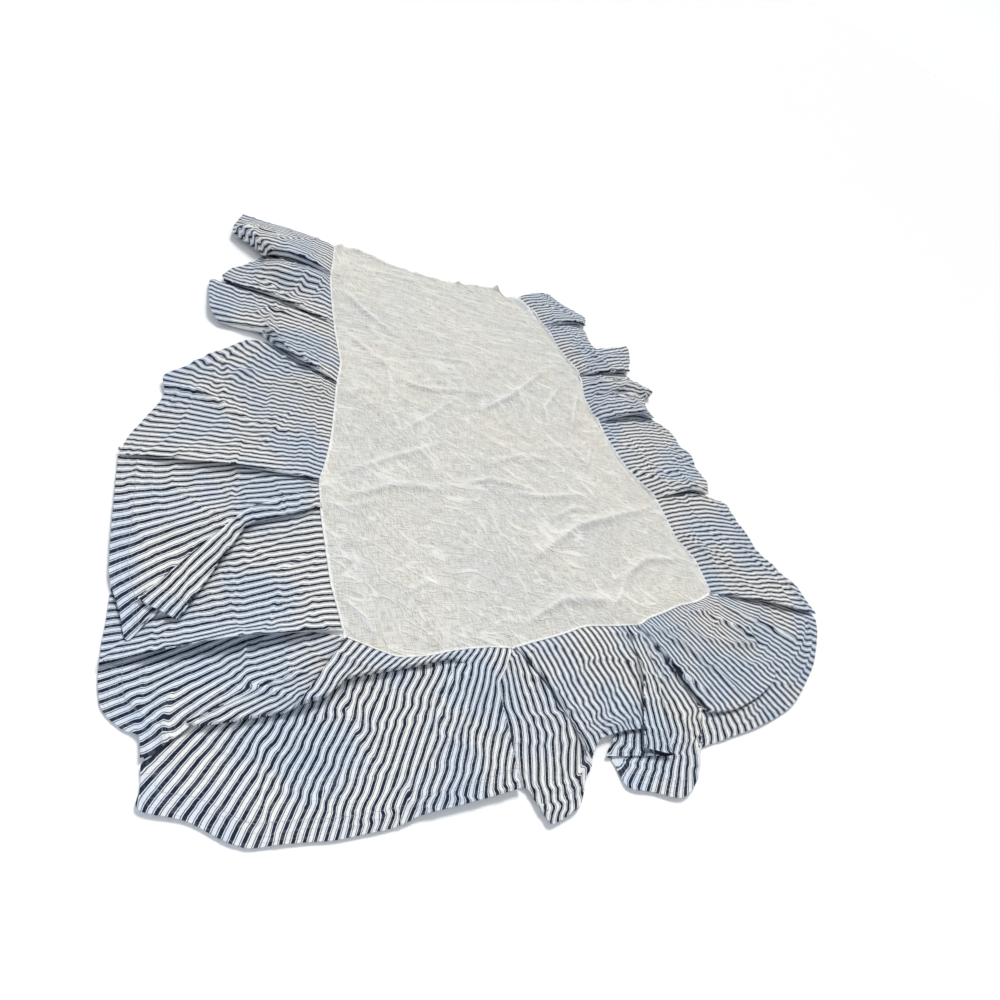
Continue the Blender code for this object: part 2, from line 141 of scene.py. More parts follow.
class Finish:
    """A material that is being made."""

    def __init__(self, name):
        self.material = bpy.data.materials.new(name)
        self.material.use_nodes = True
        self.tree = self.material.node_tree
        self.shader = self.tree.nodes["Principled BSDF"]

    def join(self, node, socket, value):
        target = node.inputs[socket]
        source = value.socket if isinstance(value, Number) else value
        if isinstance(source, bpy.types.NodeSocket):
            self.tree.links.new(source, target)
        else:
            target.default_value = source

    def add(self, kind, settings=None, sockets=None):
        node = self.tree.nodes.new(kind)
        for name, value in (settings or {}).items():
            setattr(node, name, value)
        for name, value in (sockets or {}).items():
            self.join(node, name, value)
        return node

    def number(self, kind, settings=None, sockets=None, output=0):
        return Number(self, self.add(kind, settings, sockets).outputs[output])

    def shade(self, sockets):
        for name, value in sockets.items():
            self.join(self.shader, name, value)

    def noise(self, place, scale=1, detail=2, roughness=0.5, stretch=(1, 1, 1)):
        """Soft noise from 0 to 1 at a place that is first stretched by three factors."""
        mapped = self.add("ShaderNodeMapping", {}, {"Vector": place, "Scale": stretch}).outputs[0]
        sockets = {"Vector": mapped, "Scale": scale, "Detail": detail, "Roughness": roughness}
        return self.number("ShaderNodeTexNoise", {}, sockets)

    def folds(self, x, y, stretch, width):
        """1 on thin wandering lines and 0 between them, at a place given by two numbers."""
        place = self.add("ShaderNodeCombineXYZ", {}, {0: x, 1: y}).outputs[0]
        value = self.noise(place, 1, 1, 0.4, (*stretch, 1))
        return abs(value - 0.5).fall(0.0, width)

    def blend(self, share, first, second):
        """The first colour where share is 0 and the second where it is 1."""
        node = self.add("ShaderNodeMix", {"data_type": "RGBA"}, {0: share, 6: first, 7: second})
        return node.outputs[2]

    def surface(self, colour, roughness, strength, height):
        bumps = {"Strength": strength, "Distance": 1.0, "Height": height}
        normal = self.add("ShaderNodeBump", {}, bumps).outputs[0]
        self.shade({"Base Color": colour, "Roughness": roughness, "Normal": normal})
        return self.material


# %% [markdown]
# ## The ticking
# Ticking is a close plain weave with narrow navy stripes on off-white: one bold line with a fine
# line close on either side, again and again. The stripes are woven in, so the pattern has to
# follow the cloth through every fold. It is therefore drawn on the UV map: the map's first number
# runs along the strip in metres, the second is the distance from the hem. Creases pull the
# stripes a little to and fro, so the first number is shifted by a noise that is long across the
# stripes and short along them. Soft patches of painted blue shade tint the off-white, and thin
# crease ridges get a painted highlight. The hem is a double layer, which looks a shade deeper, and
# ends in a row of stitches.

# %% Ticking
REPEAT = 0.0195
BOLD = 0.0067
FINE = 0.0016
FINE_AT = 0.0056
BLUR = 0.0004
HEM = 0.045
STITCH = 0.004
OFF_WHITE, PAINTED_BLUE_SHADE = (0.87, 0.86, 0.83, 1), (0.57, 0.70, 0.88, 1)
NAVY, FADED_NAVY = (0.003, 0.007, 0.019, 1), (0.008, 0.018, 0.052, 1)
BETWEEN_THREADS, HEM_SHADE = (0.40, 0.43, 0.50, 1), (0.32, 0.44, 0.66, 1)
RIDGE_HIGHLIGHT, STITCH_SHADE = (0.95, 0.96, 0.98, 1), (0.25, 0.28, 0.36, 1)


def make_ticking():
    finish = Finish("ticking")
    uv = finish.add("ShaderNodeUVMap", {"uv_map": "cloth"}).outputs[0]
    place = finish.add("ShaderNodeTexCoord").outputs["Object"]
    parts = finish.add("ShaderNodeSeparateXYZ", {}, {"Vector": uv})
    strip = Number(finish, parts.outputs[0])
    from_hem = Number(finish, parts.outputs[1])
    pull = finish.noise(uv, stretch=(3, 14, 1))
    kink = finish.noise(uv, 1, 3, 0.6, (7, 48, 1))
    shifted = strip + (pull - 0.5) * 0.005 + (kink - 0.5) * 0.0028
    across = abs((shifted / REPEAT).fraction() - 0.5) * REPEAT
    bold = across.fall(BOLD / 2 - BLUR, BOLD / 2 + BLUR)
    fine = abs(across - FINE_AT).fall(FINE / 2 - BLUR, FINE / 2 + BLUR)
    stripe = bold.largest(fine * 0.92)
    # Soft patches of painted blue shade on the off-white.
    blue_shade_patch = finish.noise(place, 4, 3).fall(0.40, 0.60)
    fading = finish.noise(place, 14, 3)
    thread = finish.noise(uv, stretch=(1200, 110, 1))
    hem = from_hem.fall(HEM - 0.001, HEM + 0.001)
    ground = finish.blend(blue_shade_patch * 0.62, OFF_WHITE, PAINTED_BLUE_SHADE)
    navy = finish.blend(fading, NAVY, FADED_NAVY)
    colour = finish.blend(stripe, ground, navy)
    weave = thread.fall(0.30, 0.60) * (1 - stripe) * 0.16
    colour = finish.blend(weave, colour, BETWEEN_THREADS)
    colour = finish.blend(hem * (1 - stripe) * 0.14, colour, HEM_SHADE)
    # Thin crease ridges: a bump, and a painted highlight in the colour.
    ridge = abs(finish.noise(uv, 1, 3, 0.6, (9, 34, 1)) - 0.5).fall(0.0, 0.05)
    colour = finish.blend(ridge * (0.22 - stripe * 0.17), colour, RIDGE_HIGHLIGHT)
    stitch_line = abs(from_hem - HEM).fall(0.0006, 0.0014)
    stitch = ((strip / STITCH).fraction() - 0.5).math("SIGN") * 0.25 + 0.75
    colour = finish.blend(stitch_line * stitch * 0.55, colour, STITCH_SHADE)
    height = pull * 0.0020 + kink * 0.0022 + ridge * 0.0020 + thread * 0.00008
    height = height - stitch_line * 0.0006 + hem * 0.0004
    finish.shade({"Specular IOR Level": 0.25, "Sheen Weight": 0.05, "Sheen Roughness": 0.5})
    return finish.surface(colour, 0.72 + thread * 0.15, 0.6, height)


ticking = make_ticking()
print("ticking repeats every", REPEAT * 1000, "mm")

# %% [markdown]
# ## The muslin
# The deck never shows on a made bed, so it is cut from cheap unbleached muslin: a thin, open
# cloth whose threads vary in thickness. Two stretched noises, one along and one across, give these
# slubs. Soft patches turn the warm cream cooler, a painted shade. The cloth was folded for a long
# time, so it is covered with fine sharp creases, and their lines are lightened as a painted
# highlight. Its turned edge is paler, the crests of its main creases get a painted highlight, and
# the mesh marks both.

# %% Muslin
WARM, PAINTED_COOL_SHADE = (0.745, 0.715, 0.65, 1), (0.68, 0.68, 0.66, 1)
SLUB_SHADE, CREASE_HIGHLIGHT = (0.44, 0.425, 0.37, 1), (0.93, 0.92, 0.88, 1)
PALE_EDGE_AND_CREST_HIGHLIGHT = (0.90, 0.91, 0.905, 1)


def make_muslin():
    finish = Finish("muslin")
    place = finish.add("ShaderNodeTexCoord").outputs["Object"]
    warp = finish.noise(place, stretch=(330, 26, 1))
    weft = finish.noise(place, stretch=(26, 330, 1))
    cloud = finish.noise(place, 3, 4, 0.6)
    drift = finish.noise(place, 3)
    parts = finish.add("ShaderNodeSeparateXYZ", {}, {"Vector": place})
    x = Number(finish, parts.outputs[0])
    y = Number(finish, parts.outputs[1])
    fine = finish.folds(x + drift * 0.12, y + x * 0.25 + drift * 0.12, (5, 46), 0.08)
    steep = finish.folds(x + y * 0.8 + drift * 0.16, y - x * 0.8, (17, 3), 0.022)
    slack = finish.folds(x - y * 0.5, y + x * 0.5 + drift * 0.16, (4, 22), 0.028)
    fan = finish.folds(x + y * 0.25 + drift * 0.16, y - x * 0.25, (30, 4), 0.030)
    crumple = finish.noise(place, 15, 4, 0.55, (1, 1.4, 1))
    region = finish.noise(place, 2.4, 1, stretch=(1, 0.7, 1))
    upper_end = (y + (region - 0.5) * 0.9).fall(0.10, 0.42)
    crease = (steep.largest(slack) * upper_end).largest(fan * region.fall(0.42, 0.52) * 0.8)
    crease = crease.largest(fine * (1 - upper_end) * 0.8)
    slub = (warp + weft) * 0.5
    # Soft random patches of painted cool shade on the warm cream.
    base = finish.blend(cloud.fall(0.35, 0.65), WARM, PAINTED_COOL_SHADE)
    colour = finish.blend(slub.fall(0.42, 0.53) * 0.68, base, SLUB_SHADE)
    # Painted highlight: the lines of the fine creases are lightened.
    colour = finish.blend(crease * 0.45, colour, CREASE_HIGHLIGHT)
    # The turned edge is paler, and the crests of the main creases get a painted highlight.
    edge = finish.number("ShaderNodeAttribute", {"attribute_name": "turned_edge_and_crest_highlight"}, {}, 2)
    colour = finish.blend(edge * 0.85, colour, PALE_EDGE_AND_CREST_HIGHLIGHT)
    height = slub * 0.0008 + crease * 0.0030 + crumple * 0.0100
    finish.shade({"Specular IOR Level": 0.2, "Sheen Weight": 0.1})
    return finish.surface(colour, 0.8 + slub * 0.15, 0.7, height)


muslin = make_muslin()
print("muslin has", len(muslin.node_tree.nodes), "nodes")

# %% [markdown]
# ## How a skirt lies
# A skirt is one long strip. Where it lies in folds it is easiest to think of its ribs: lines of
# the cloth that run from the seam down to the hem. Each row of the tables below places one rib,
# and says how many layers lie under it, how far it bulges up at its bend, and how far the cloth
# turns under at the bend or at the hem. At a pleat the cloth turns back along a rib, and goes
# down or up a layer there. The seams are the lines where the skirts meet the deck. The ribs are
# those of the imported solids, but for a few that lie a little apart for the sake of the stripes.

# %% Seams round the deck
def metres(units, rows):
    """A table in metres. For each column, units says how many of its units go into a metre."""
    return [tuple(value / unit for value, unit in zip(row, units)) for row in rows]


MM = (1000,) * 9
RIB_UNITS = (1, 1, *MM)
CREASE_UNITS = (*[100] * 6, *MM)

LEFT_SEAM = metres(MM, [
    (-425, 990), (-455, 830), (-473, 750), (-487, 600), (-499, 420), (-503, 220), (-534, 78),
    (-558, -50), (-585, -180), (-620, -300), (-644, -376), (-650, -500), (-650, -700), (-642, -800),
    (-636, -880),
])
FOOT_SEAM = metres(MM, [
    (-636, -880), (-600, -902), (-550, -930), (-500, -952), (-420, -958), (-350, -952),
    (-250, -955), (-170, -966), (-100, -957), (0, -945), (100, -928), (180, -935), (290, -945),
    (350, -925), (420, -912), (500, -893), (580, -885), (640, -868), (668, -858),
])
RIGHT_SEAM = metres(MM, [
    (668, -858), (674, -790), (676, -720), (658, -660), (640, -604), (643, -550), (645, -430),
    (630, -390), (600, -335), (575, -270), (560, -190), (551, -100), (555, -20), (536, 30),
    (536, 110), (555, 190), (578, 275), (575, 310), (547, 395), (530, 480), (528, 570), (505, 650),
    (498, 720), (467, 770), (430, 820),
])
HEAD_EDGE = metres(MM, [
    (-425, 990), (-350, 985), (-280, 955), (-150, 900), (0, 865), (100, 855), (220, 865),
    (330, 870), (370, 810), (430, 820),
])

# %% Ribs of the left skirt
# turn: how many layers the cloth goes down where it turns back along the rib (up, if negative).
# at: where it leaves the seam, as y on the sides and as x at the foot.
# All but level and turn are in millimetres, and fold and tuck are left out where they are 0.
LEFT_RIBS = metres(RIB_UNITS, [
    # level, turn, at, bend x, bend y, rise, hem x, hem y, lift, fold, tuck
    (0, 0, 985, -620, 1045, 8, -797, 1085, 8),
    (1, 0, 920, -800, 930, 45, -845, 915, 15),
    (2, 0, 870, -755, 860, 58, -780, 845, 4),
    (2, 1, 757, -660, 775, 55, -745, 790, 8),
    (1, 1, 775, -660, 830, 6, -720, 840, 0),
    (0, 0, 740, -620, 735, 30, -765, 765, 2),
    (0, 0, 690, -640, 665, 55, -805, 710, 10),
    (0, 0, 630, -660, 590, 22, -860, 665, 8),
    (1, 0, 550, -700, 570, 12, -890, 605, 10),
    (2, 1, 420, -720, 525, 14, -885, 585, 8),
    (1, 1, 430, -700, 540, 2, -870, 600, 0),
    (0, 0, 410, -720, 490, 8, -930, 585, 8),
    (0, 0, 360, -720, 430, 12, -937, 500, 18),
    (0, 0, 320, -730, 370, 18, -935, 410, 25),
    (0, 0, 270, -740, 325, 25, -900, 338, 10),
    (1, 0, 220, -700, 270, 18, -800, 325, 5),
    (1, 0, 180, -660, 225, 18, -745, 275, 12, 0, 30),
    (2, 1, 85, -650, 165, 22, -735, 250, 12),
    (1, 1, 100, -640, 190, 2, -720, 265, 0),
    (0, 0, 60, -700, 115, 10, -800, 265, 6),
    (0, 0, 40, -740, 85, 12, -900, 200, 6),
    (0, 0, 10, -790, 45, 10, -1000, 105, 8),
    (0, 0, -30, -800, -5, 9, -1070, 30, 12),
    (0, 0, -80, -820, -70, 5, -1065, -20, 3),
    (0, 0, -170, -840, -160, 8, -1120, -150, 4),
    (3, 0, -260, -860, -240, 6, -1150, -220, 3),
    (4, 1, -365, -880, -325, 14, -1165, -285, 3),
    (3, 1, -350, -880, -285, 0, -1170, -255, 0),
    (2, 0, -378, -880, -365, 2, -1170, -360, 0),
    (2, 0, -382, -900, -440, 4, -1170, -500, 0),
    (2, 0, -384, -930, -495, 3, -1168, -640, 0),
    (2, 0, -387, -970, -568, 3, -1140, -760, 0),
    (2, 0, -389, -990, -622, 3, -1120, -835, 0),
    (2, -1, -390, -940, -578, 3, -1045, -775, 0),
    (3, -1, -390, -860, -485, 5, -1105, -735, 4),
    (4, 3, -460, -860, -535, 2, -1020, -800, 1),
    (1, 1, -420, -880, -470, 0, -1150, -560, 0),
    (0, 0, -500, -860, -550, 2, -1150, -600, 0),
    (0, 0, -600, -860, -635, 2, -1160, -680, 0),
    (0, 0, -700, -880, -735, 2, -1165, -775, 0),
    (1, 0, -780, -880, -805, 3, -1170, -840, 0),
    (2, 1, -862, -880, -865, 28, -1170, -885, 6),
    (1, 0, -850, -900, -835, 0, -1170, -855, 0),
])

# %% Ribs of the foot skirt
FOOT_RIBS = metres(RIB_UNITS, [
    # level, turn, at, bend x, bend y, rise, hem x, hem y, lift, fold, tuck
    (0, 0, -634, -880, -800, 0, -1150, -830, 0),
    (0, 0, -633, -900, -862, 0, -1172, -885, 0),
    (0, 0, -632, -900, -890, 3, -1165, -970, 0),
    (0, 0, -630, -900, -930, 10, -1120, -1035, 0),
    (1, 0, -622, -885, -975, 14, -1088, -1058, 2),
    (1, 0, -615, -910, -1015, 16, -1084, -1102, 3),
    (2, 0, -600, -1000, -1045, 10, -1083, -1120, 2, 40, 50),
    (2, 0, -595, -960, -1055, 12, -1089, -1190, 0, 50),
    (2, 0, -590, -880, -1056, 15, -1000, -1240, 0, 50),
    (2, 0, -580, -790, -1055, 16, -920, -1300, 0, 50),
    (3, 0, -600, -780, -1050, 18, -905, -1308, 0, 50),
    (4, 0, -633, -770, -1045, 20, -890, -1315, 0, 50),
    (4, 0, -600, -710, -1035, 20, -835, -1322, 0, 50),
    (3, 0, -550, -640, -995, 18, -780, -1330, 0, 45),
    (2, 0, -500, -560, -990, 16, -720, -1340, 0, 40),
    (2, 0, -420, -470, -987, 12, -660, -1343, 0, 35),
    (2, 0, -340, -375, -978, 10, -600, -1345, 0, 30),
    (2, 0, -300, -335, -985, 9, -565, -1342, 0, 12),
    (2, 0, -265, -300, -995, 8, -530, -1335, 0),
    (2, 0, -215, -270, -1030, 8, -420, -1335, 3),
    (2, 1, -173, -262, -1090, 10, -270, -1330, 4),
    (1, 1, -200, -290, -1090, 0, -310, -1310, 0),
    (0, 0, -185, -232, -1150, 3, -255, -1335, 4),
    (0, 0, -172, -185, -1200, 6, -240, -1375, 6),
    (0, 0, -166, -140, -1220, 8, -215, -1425, 5),
    (0, 0, -158, -90, -1235, 8, -130, -1405, 4),
    (0, -1, -150, -35, -1250, 2, -65, -1330, 2),
    (1, -1, -163, -105, -1090, 6, -48, -1300, 4),
    (2, 0, -100, -65, -1090, 8, 0, -1260, 6),
    (2, 0, -30, -10, -1080, 8, 50, -1256, 6),
    (2, 0, 40, 60, -1070, 6, 100, -1256, 8),
    (2, 0, 110, 135, -1060, 8, 140, -1260, 8),
    (2, 0, 180, 195, -1060, 3, 160, -1285, 3),
    (2, -1, 225, 225, -1080, 2, 180, -1290, 3),
    (3, -1, 247, 215, -1110, 10, 118, -1310, 8),
    (4, 3, 283, 268, -1120, 1, 205, -1345, 1),
    (1, 1, 262, 195, -1130, 0, 0, -1305, 0),
    (0, 0, 270, 200, -1200, 0, 30, -1385, 1),
    (0, 0, 278, 250, -1290, 2, 110, -1420, 3),
    (0, 0, 284, 285, -1290, 5, 190, -1450, 4),
    (0, 0, 288, 315, -1250, 8, 260, -1420, 5),
    (0, 0, 293, 392, -1228, 3, 325, -1345, 2),
    (3, 0, 292, 405, -1250, 8, 335, -1342, 0, 45),
    (2, 0, 350, 500, -1262, 10, 460, -1334, 0, 45),
    (2, 0, 420, 600, -1247, 10, 600, -1322, 0, 45),
    (2, 0, 480, 680, -1222, 8, 710, -1303, 0, 40),
    (2, 0, 530, 740, -1190, 6, 790, -1277, 0, 20),
    (1, 0, 570, 790, -1120, 6, 870, -1235, 0),
    (1, 0, 620, 850, -1060, 6, 960, -1180, 0),
    (1, 0, 650, 910, -1010, 5, 1040, -1105, 0),
    (0, 0, 660, 940, -960, 3, 1100, -1040, 0),
    (0, 0, 665, 950, -920, 1, 1125, -985, 0),
])

# %% Ribs of the right skirt
RIGHT_RIBS = metres(RIB_UNITS, [
    # level, turn, at, bend x, bend y, rise, hem x, hem y, lift, fold, tuck
    (1, 0, -848, 920, -895, 0, 1130, -960, 0),
    (1, -1, -857, 900, -925, 12, 1128, -993, 0),
    (2, 0, -830, 920, -860, 10, 1118, -870, 3),
    (1, 0, -770, 900, -790, 8, 1065, -785, 4, 0, 30),
    (1, 0, -710, 880, -715, 10, 1020, -710, 6, 0, 60),
    (1, 0, -650, 860, -650, 10, 1010, -650, 8, 0, 100),
    (1, 0, -600, 860, -580, 10, 998, -585, 8, 0, 120),
    (1, 0, -530, 870, -510, 10, 995, -530, 8, 0, 120),
    (1, 0, -470, 880, -455, 10, 1000, -485, 8, 0, 120),
    (0, -1, -415, 850, -380, 0, 930, -405, 0),
    (1, -1, -430, 840, -405, 22, 930, -420, 6),
    (2, 0, -360, 830, -330, 14, 960, -350, 6, 0, 60),
    (2, 0, -300, 820, -265, 8, 945, -280, 6, 0, 80),
    (2, 0, -220, 820, -190, 8, 960, -200, 6, 0, 80),
    (2, 0, -150, 800, -130, 8, 930, -140, 6, 0, 80),
    (1, 0, -80, 800, -65, 8, 930, -75, 6, 0, 80),
    (0, -1, 10, 780, 40, 0, 870, 40, 0),
    (1, -1, -18, 765, 20, 30, 870, 20, 6),
    (2, 0, 50, 750, 95, 28, 860, 105, 6, 0, 50),
    (2, 0, 110, 750, 150, 12, 870, 140, 8, 0, 60),
    (2, 0, 155, 770, 170, 30, 930, 170, 14, 0, 80),
    (2, 0, 200, 790, 195, 40, 935, 180, 22, 0, 80),
    (1, 0, 240, 790, 240, 18, 885, 250, 8, 0, 50),
    (0, -1, 295, 790, 320, 0, 870, 345, 0),
    (1, -1, 277, 760, 295, 18, 885, 330, 10),
    (2, 0, 310, 780, 375, 18, 935, 430, 6, 0, 40),
    (2, 0, 350, 780, 430, 18, 955, 495, 8, 0, 30),
    (2, 0, 385, 760, 460, 18, 955, 520, 6, 0, 30),
    (2, 0, 400, 700, 450, 12, 760, 475, 6, 0, 50),
    (2, 0, 460, 660, 495, 12, 735, 510, 8, 0, 100),
    (2, 0, 530, 650, 545, 12, 735, 565, 8, 0, 120),
    (1, 0, 590, 660, 600, 10, 745, 600, 8, 0, 100),
    (0, -1, 635, 680, 670, 0, 750, 672, 0),
    (1, -1, 610, 700, 655, 18, 770, 655, 8),
    (2, 0, 680, 680, 710, 14, 785, 705, 6, 0, 50),
    (1, 0, 740, 650, 765, 10, 755, 760, 6, 0, 60),
    (1, 0, 790, 600, 830, 10, 695, 810, 6, 0, 60),
    (0, 0, 815, 550, 875, 8, 645, 900, 6, 0, 40),
])
print("ribs, left, foot and right:", len(LEFT_RIBS), len(FOOT_RIBS), len(RIGHT_RIBS))

# %% [markdown]
# ## From a rib to its points
# Ten points follow a rib from the seam to the hem and round under a tuck. A layer of folded cloth
# adds 3 mm of height, which is more than its thickness: cloth that nobody has pressed keeps a
# little air between its layers. Where the cloth turns back, the lower layer is drawn in a little
# under the fold, so that the fold has a shadow below it.

# %% Points of a rib
LAYER = 0.003
GROUND = 0.0008
SOFT = 0.03
DRAWN_IN = 0.018
UNDER_RISE = 0.3


def between(points, across, value):
    line = np.array(sorted(points, key=lambda point: point[across]))
    other = float(np.interp(value, line[:, across], line[:, 1 - across]))
    return np.array((value, other) if across == 0 else (other, value))


def unit(vector):
    return vector / max(float(np.hypot(*vector)), 1e-6)


def rib_points(row, level, seam_line, across):
    _, _, at, bend_x, bend_y, rise, hem_x, hem_y, lift, fold, tuck = (*row, 0, 0)[:11]
    bend = np.array((bend_x, bend_y))
    hem = np.array((hem_x, hem_y))
    seam = between(seam_line, across, at)
    down = unit(bend - seam)
    onward = unit(hem - bend)
    folded = min(1.0, fold / SOFT)
    tucked = min(1.0, tuck / SOFT)
    flat = 1 - folded
    upper = GROUND + (level + tucked) * LAYER
    lower = GROUND + (level * flat + tucked) * LAYER
    middle = (upper + lower) / 2
    end = GROUND + level * flat * LAYER
    back = bend - down * fold
    step = onward * min(1.0, float(np.hypot(*(hem - bend))) / 0.12)
    below = back + step * 0.042 * flat
    places = [
        (seam, upper),
        ((seam + bend) / 2, upper + rise * 0.75),
        (bend, upper + rise),
        (bend + step * 0.012 * flat, middle + rise * (0.4 + 0.6 * flat)),
        (back + step * 0.030 * flat, middle + rise * flat),
        (below, lower + rise * flat),
        ((below + hem) / 2, lower + (rise * flat + lift) / 2),
        (hem - step * 0.020 * (1 - tucked), lower + lift),
        (hem - step * 0.010 * (1 - tucked), end + lift * (1 - tucked)),
        (hem - onward * tuck, end + lift * (1 - tucked)),
    ]
    return [(*place, height) for place, height in places]


def sunk(line, level):
    """The same rib with most of its bulge taken out, as it lies under a fold."""
    base = GROUND + level * LAYER
    return [(x, y, min(z, base + (z - base) * UNDER_RISE) if z > base else z) for x, y, z in line]


def rib_lines(rows, seam_line, across):
    """Every rib, a second one a layer away where the cloth turns back, and where these turns are."""
    lines = []
    turns = []
    for row in rows:
        level, turn = row[:2]
        lines.append(rib_points(row, level, seam_line, across))
        if turn:
            turns.append(len(lines) - 1)
            lines.append(rib_points(row, level - turn, seam_line, across))
            lower = lines[-1] if turn > 0 else lines[-2]
            lines[-1 if turn > 0 else -2] = sunk(lower, level - max(turn, 0))
    lines = np.array(lines)
    for index in turns:
        before, after = lines[max(index - 1, 0)], lines[min(index + 2, len(lines) - 1)]
        inward = ((before + after) / 2 - lines[index])[:, :2]
        reach = np.hypot(*inward.T)[:, None]
        pulled = np.minimum(DRAWN_IN, reach * 0.4) * np.linspace(0, 1, len(inward))[:, None] ** 0.5
        lower = index if lines[index, 2, 2] < lines[index + 1, 2, 2] else index + 1
        lines[lower, :, :2] += inward / (reach + 1e-6) * pulled
    return lines, turns


# %% [markdown]
# ## A curve that never swings past its points
# Straight lines between ribs would look like folded card. An ordinary smooth curve overshoots,
# and layers of cloth would cut through each other. The monotone cubic curve below is smooth and
# stays between its stops, so a fold keeps its place and only rounds off.

# %% Monotone curve
def through(stops, values, places):
    """The values at the given places of a curve through values at stops, down the first axis."""
    steps = np.diff(stops)[:, None]
    slopes = np.diff(values, axis=0) / steps
    first, second = slopes[:-1], slopes[1:]
    same_way = first * second > 0
    near, far = 2 * steps[1:] + steps[:-1], steps[1:] + 2 * steps[:-1]
    safe_first, safe_second = np.where(same_way, first, 1), np.where(same_way, second, 1)
    inner = np.where(same_way, (near + far) / (near / safe_first + far / safe_second), 0)
    leans = np.concatenate([slopes[:1], inner, slopes[-1:]])
    cell = np.clip(np.searchsorted(stops, places, side="right") - 1, 0, len(stops) - 2)
    share = ((places - stops[cell]) / steps[cell, 0])[:, None]
    start, end = values[cell], values[cell + 1]
    width = steps[cell]
    rest = 1 - share
    return (
        start * (1 + 2 * share) * rest**2
        + end * share**2 * (3 - 2 * share)
        + leans[cell] * width * share * rest**2
        - leans[cell + 1] * width * share**2 * rest
    )


# %% [markdown]
# ## A strip of cloth as a grid
# Each rib is first filled with fine points, and then each of these rows is carried along the strip
# from rib to rib. The faces come from `create_grid`, whose vertices are moved to these points. The
# UV map is in metres: its first number runs along the strip and its second up from the hem. For a
# first guess the strip is as long as it is at its widest, because cloth can't stretch.

# %% Fine points along the ribs
ROWS_BETWEEN = (28, 22, 3, 3, 3, 16, 16, 3, 6)
COLUMN = 0.011
WIDEST = 92


def lengths(vectors):
    return np.linalg.norm(vectors, axis=-1)


def cumulative(steps):
    return np.concatenate([[0], np.cumsum(np.maximum(steps, 1e-4))])


def filled(stops, counts):
    """The stops with even steps between them, as many to each gap as counts says."""
    places = [
        stops[k] + (stops[k + 1] - stops[k]) * np.arange(count) / count
        for k, count in enumerate(counts)
    ]
    return np.concatenate([*places, stops[-1:]])


def down_rib(points):
    """The fine points down one rib."""
    stops = cumulative(lengths(np.diff(points, axis=0)))
    return through(stops, points, filled(stops, ROWS_BETWEEN))


def lay_strip(rows, seam_line, across):
    """A grid of points, columns along the strip and rows down it, and the columns where it turns."""
    lines, turns = rib_lines(rows, seam_line, across)
    ribs = np.array([down_rib(line) for line in lines])
    widths = lengths(np.diff(ribs, axis=0)).max(axis=1)
    stops = cumulative(widths)
    counts = [max(2, math.ceil(width / COLUMN)) for width in widths]
    places = filled(stops, counts)
    points = through(stops, ribs.reshape(len(ribs), -1), places)
    starts = np.concatenate([[0], np.cumsum(counts)])
    folds = np.array([starts[turn] + 1 for turn in turns])
    return points.reshape(len(places), -1, 3), folds


def cloth_map(points):
    """How far along the strip each column is, and how far from the hem each point is."""
    widths = np.percentile(lengths(np.diff(points, axis=0)), WIDEST, axis=1)
    along = np.concatenate([[0], np.cumsum(widths)])
    drops = lengths(np.diff(points, axis=1))[:, ::-1]
    from_hem = np.concatenate([np.zeros((len(points), 1)), np.cumsum(drops, axis=1)], axis=1)
    return along, from_hem[:, ::-1]


SKIRTS = {
    "skirt_left": (LEFT_RIBS, LEFT_SEAM, 1),
    "skirt_foot": (FOOT_RIBS, FOOT_SEAM, 0),
    "skirt_right": (RIGHT_RIBS, RIGHT_SEAM, 1),
}
strips = {name: lay_strip(*skirt) for name, skirt in SKIRTS.items()}
for name, (points, folds) in strips.items():
    print(name, points.shape[:2], "turns", len(folds), "times")

# %% A mesh on a grid of points
def add_mesh(name, shape, material):
    """An object of the shape that bmesh has made."""
    mesh = bpy.data.meshes.new(name)
    shape.to_mesh(mesh)
    shape.free()
    mesh.materials.append(material)
    return add_object(name, mesh)


def grid_piece(name, points, along, from_hem, material, edge_and_highlight_marks=None):
    """A mesh on a grid of points, with the UV map cloth and the marks of turned edges and painted crest
    highlights.
    """
    columns, rows = points.shape[:2]
    cloth = bmesh.new()
    uv = cloth.loops.layers.uv.new("cloth")
    edge_and_highlight_mark = cloth.verts.layers.float.new("turned_edge_and_crest_highlight")
    bmesh.ops.create_grid(cloth, x_segments=columns - 1, y_segments=rows - 1, size=0.5)
    where = {}
    for vert in cloth.verts:
        column = round((vert.co.x + 0.5) * (columns - 1))
        row = round((vert.co.y + 0.5) * (rows - 1))
        where[vert] = (column, row)
    for vert, (column, row) in where.items():
        vert.co = points[column, row]
        vert[edge_and_highlight_mark] = 0.0 if edge_and_highlight_marks is None else edge_and_highlight_marks[column, row]
    for face in cloth.faces:
        face.smooth = True
        for loop in face.loops:
            column, row = where[loop.vert]
            loop[uv].uv = (along[column, row], from_hem[column, row])
    return add_mesh(name, cloth, material)


# %% [markdown]
# ## Which cloth is seen
# Only cloth that lies on top can bulge: a wrinkle in a lower layer would poke through the one
# above. A ray is sent straight up from each point, and where it meets cloth the point is covered.
# Slanting rays find the cloth that can still be seen under the edge of a fold.

# %% Which points can be seen
SLANT = 42
OFF_CLOTH = 0.0012
RAY = 0.4


def as_tree(grids):
    verts = []
    faces = []
    for points in grids:
        columns, rows = points.shape[:2]
        start = len(verts)
        verts.extend(Vector(point) for point in points.reshape(-1, 3))
        for column in range(columns - 1):
            for row in range(rows - 1):
                a = start + column * rows + row
                faces.append((a, a + 1, a + rows + 1, a + rows))
    return BVHTree.FromPolygons(verts, faces)


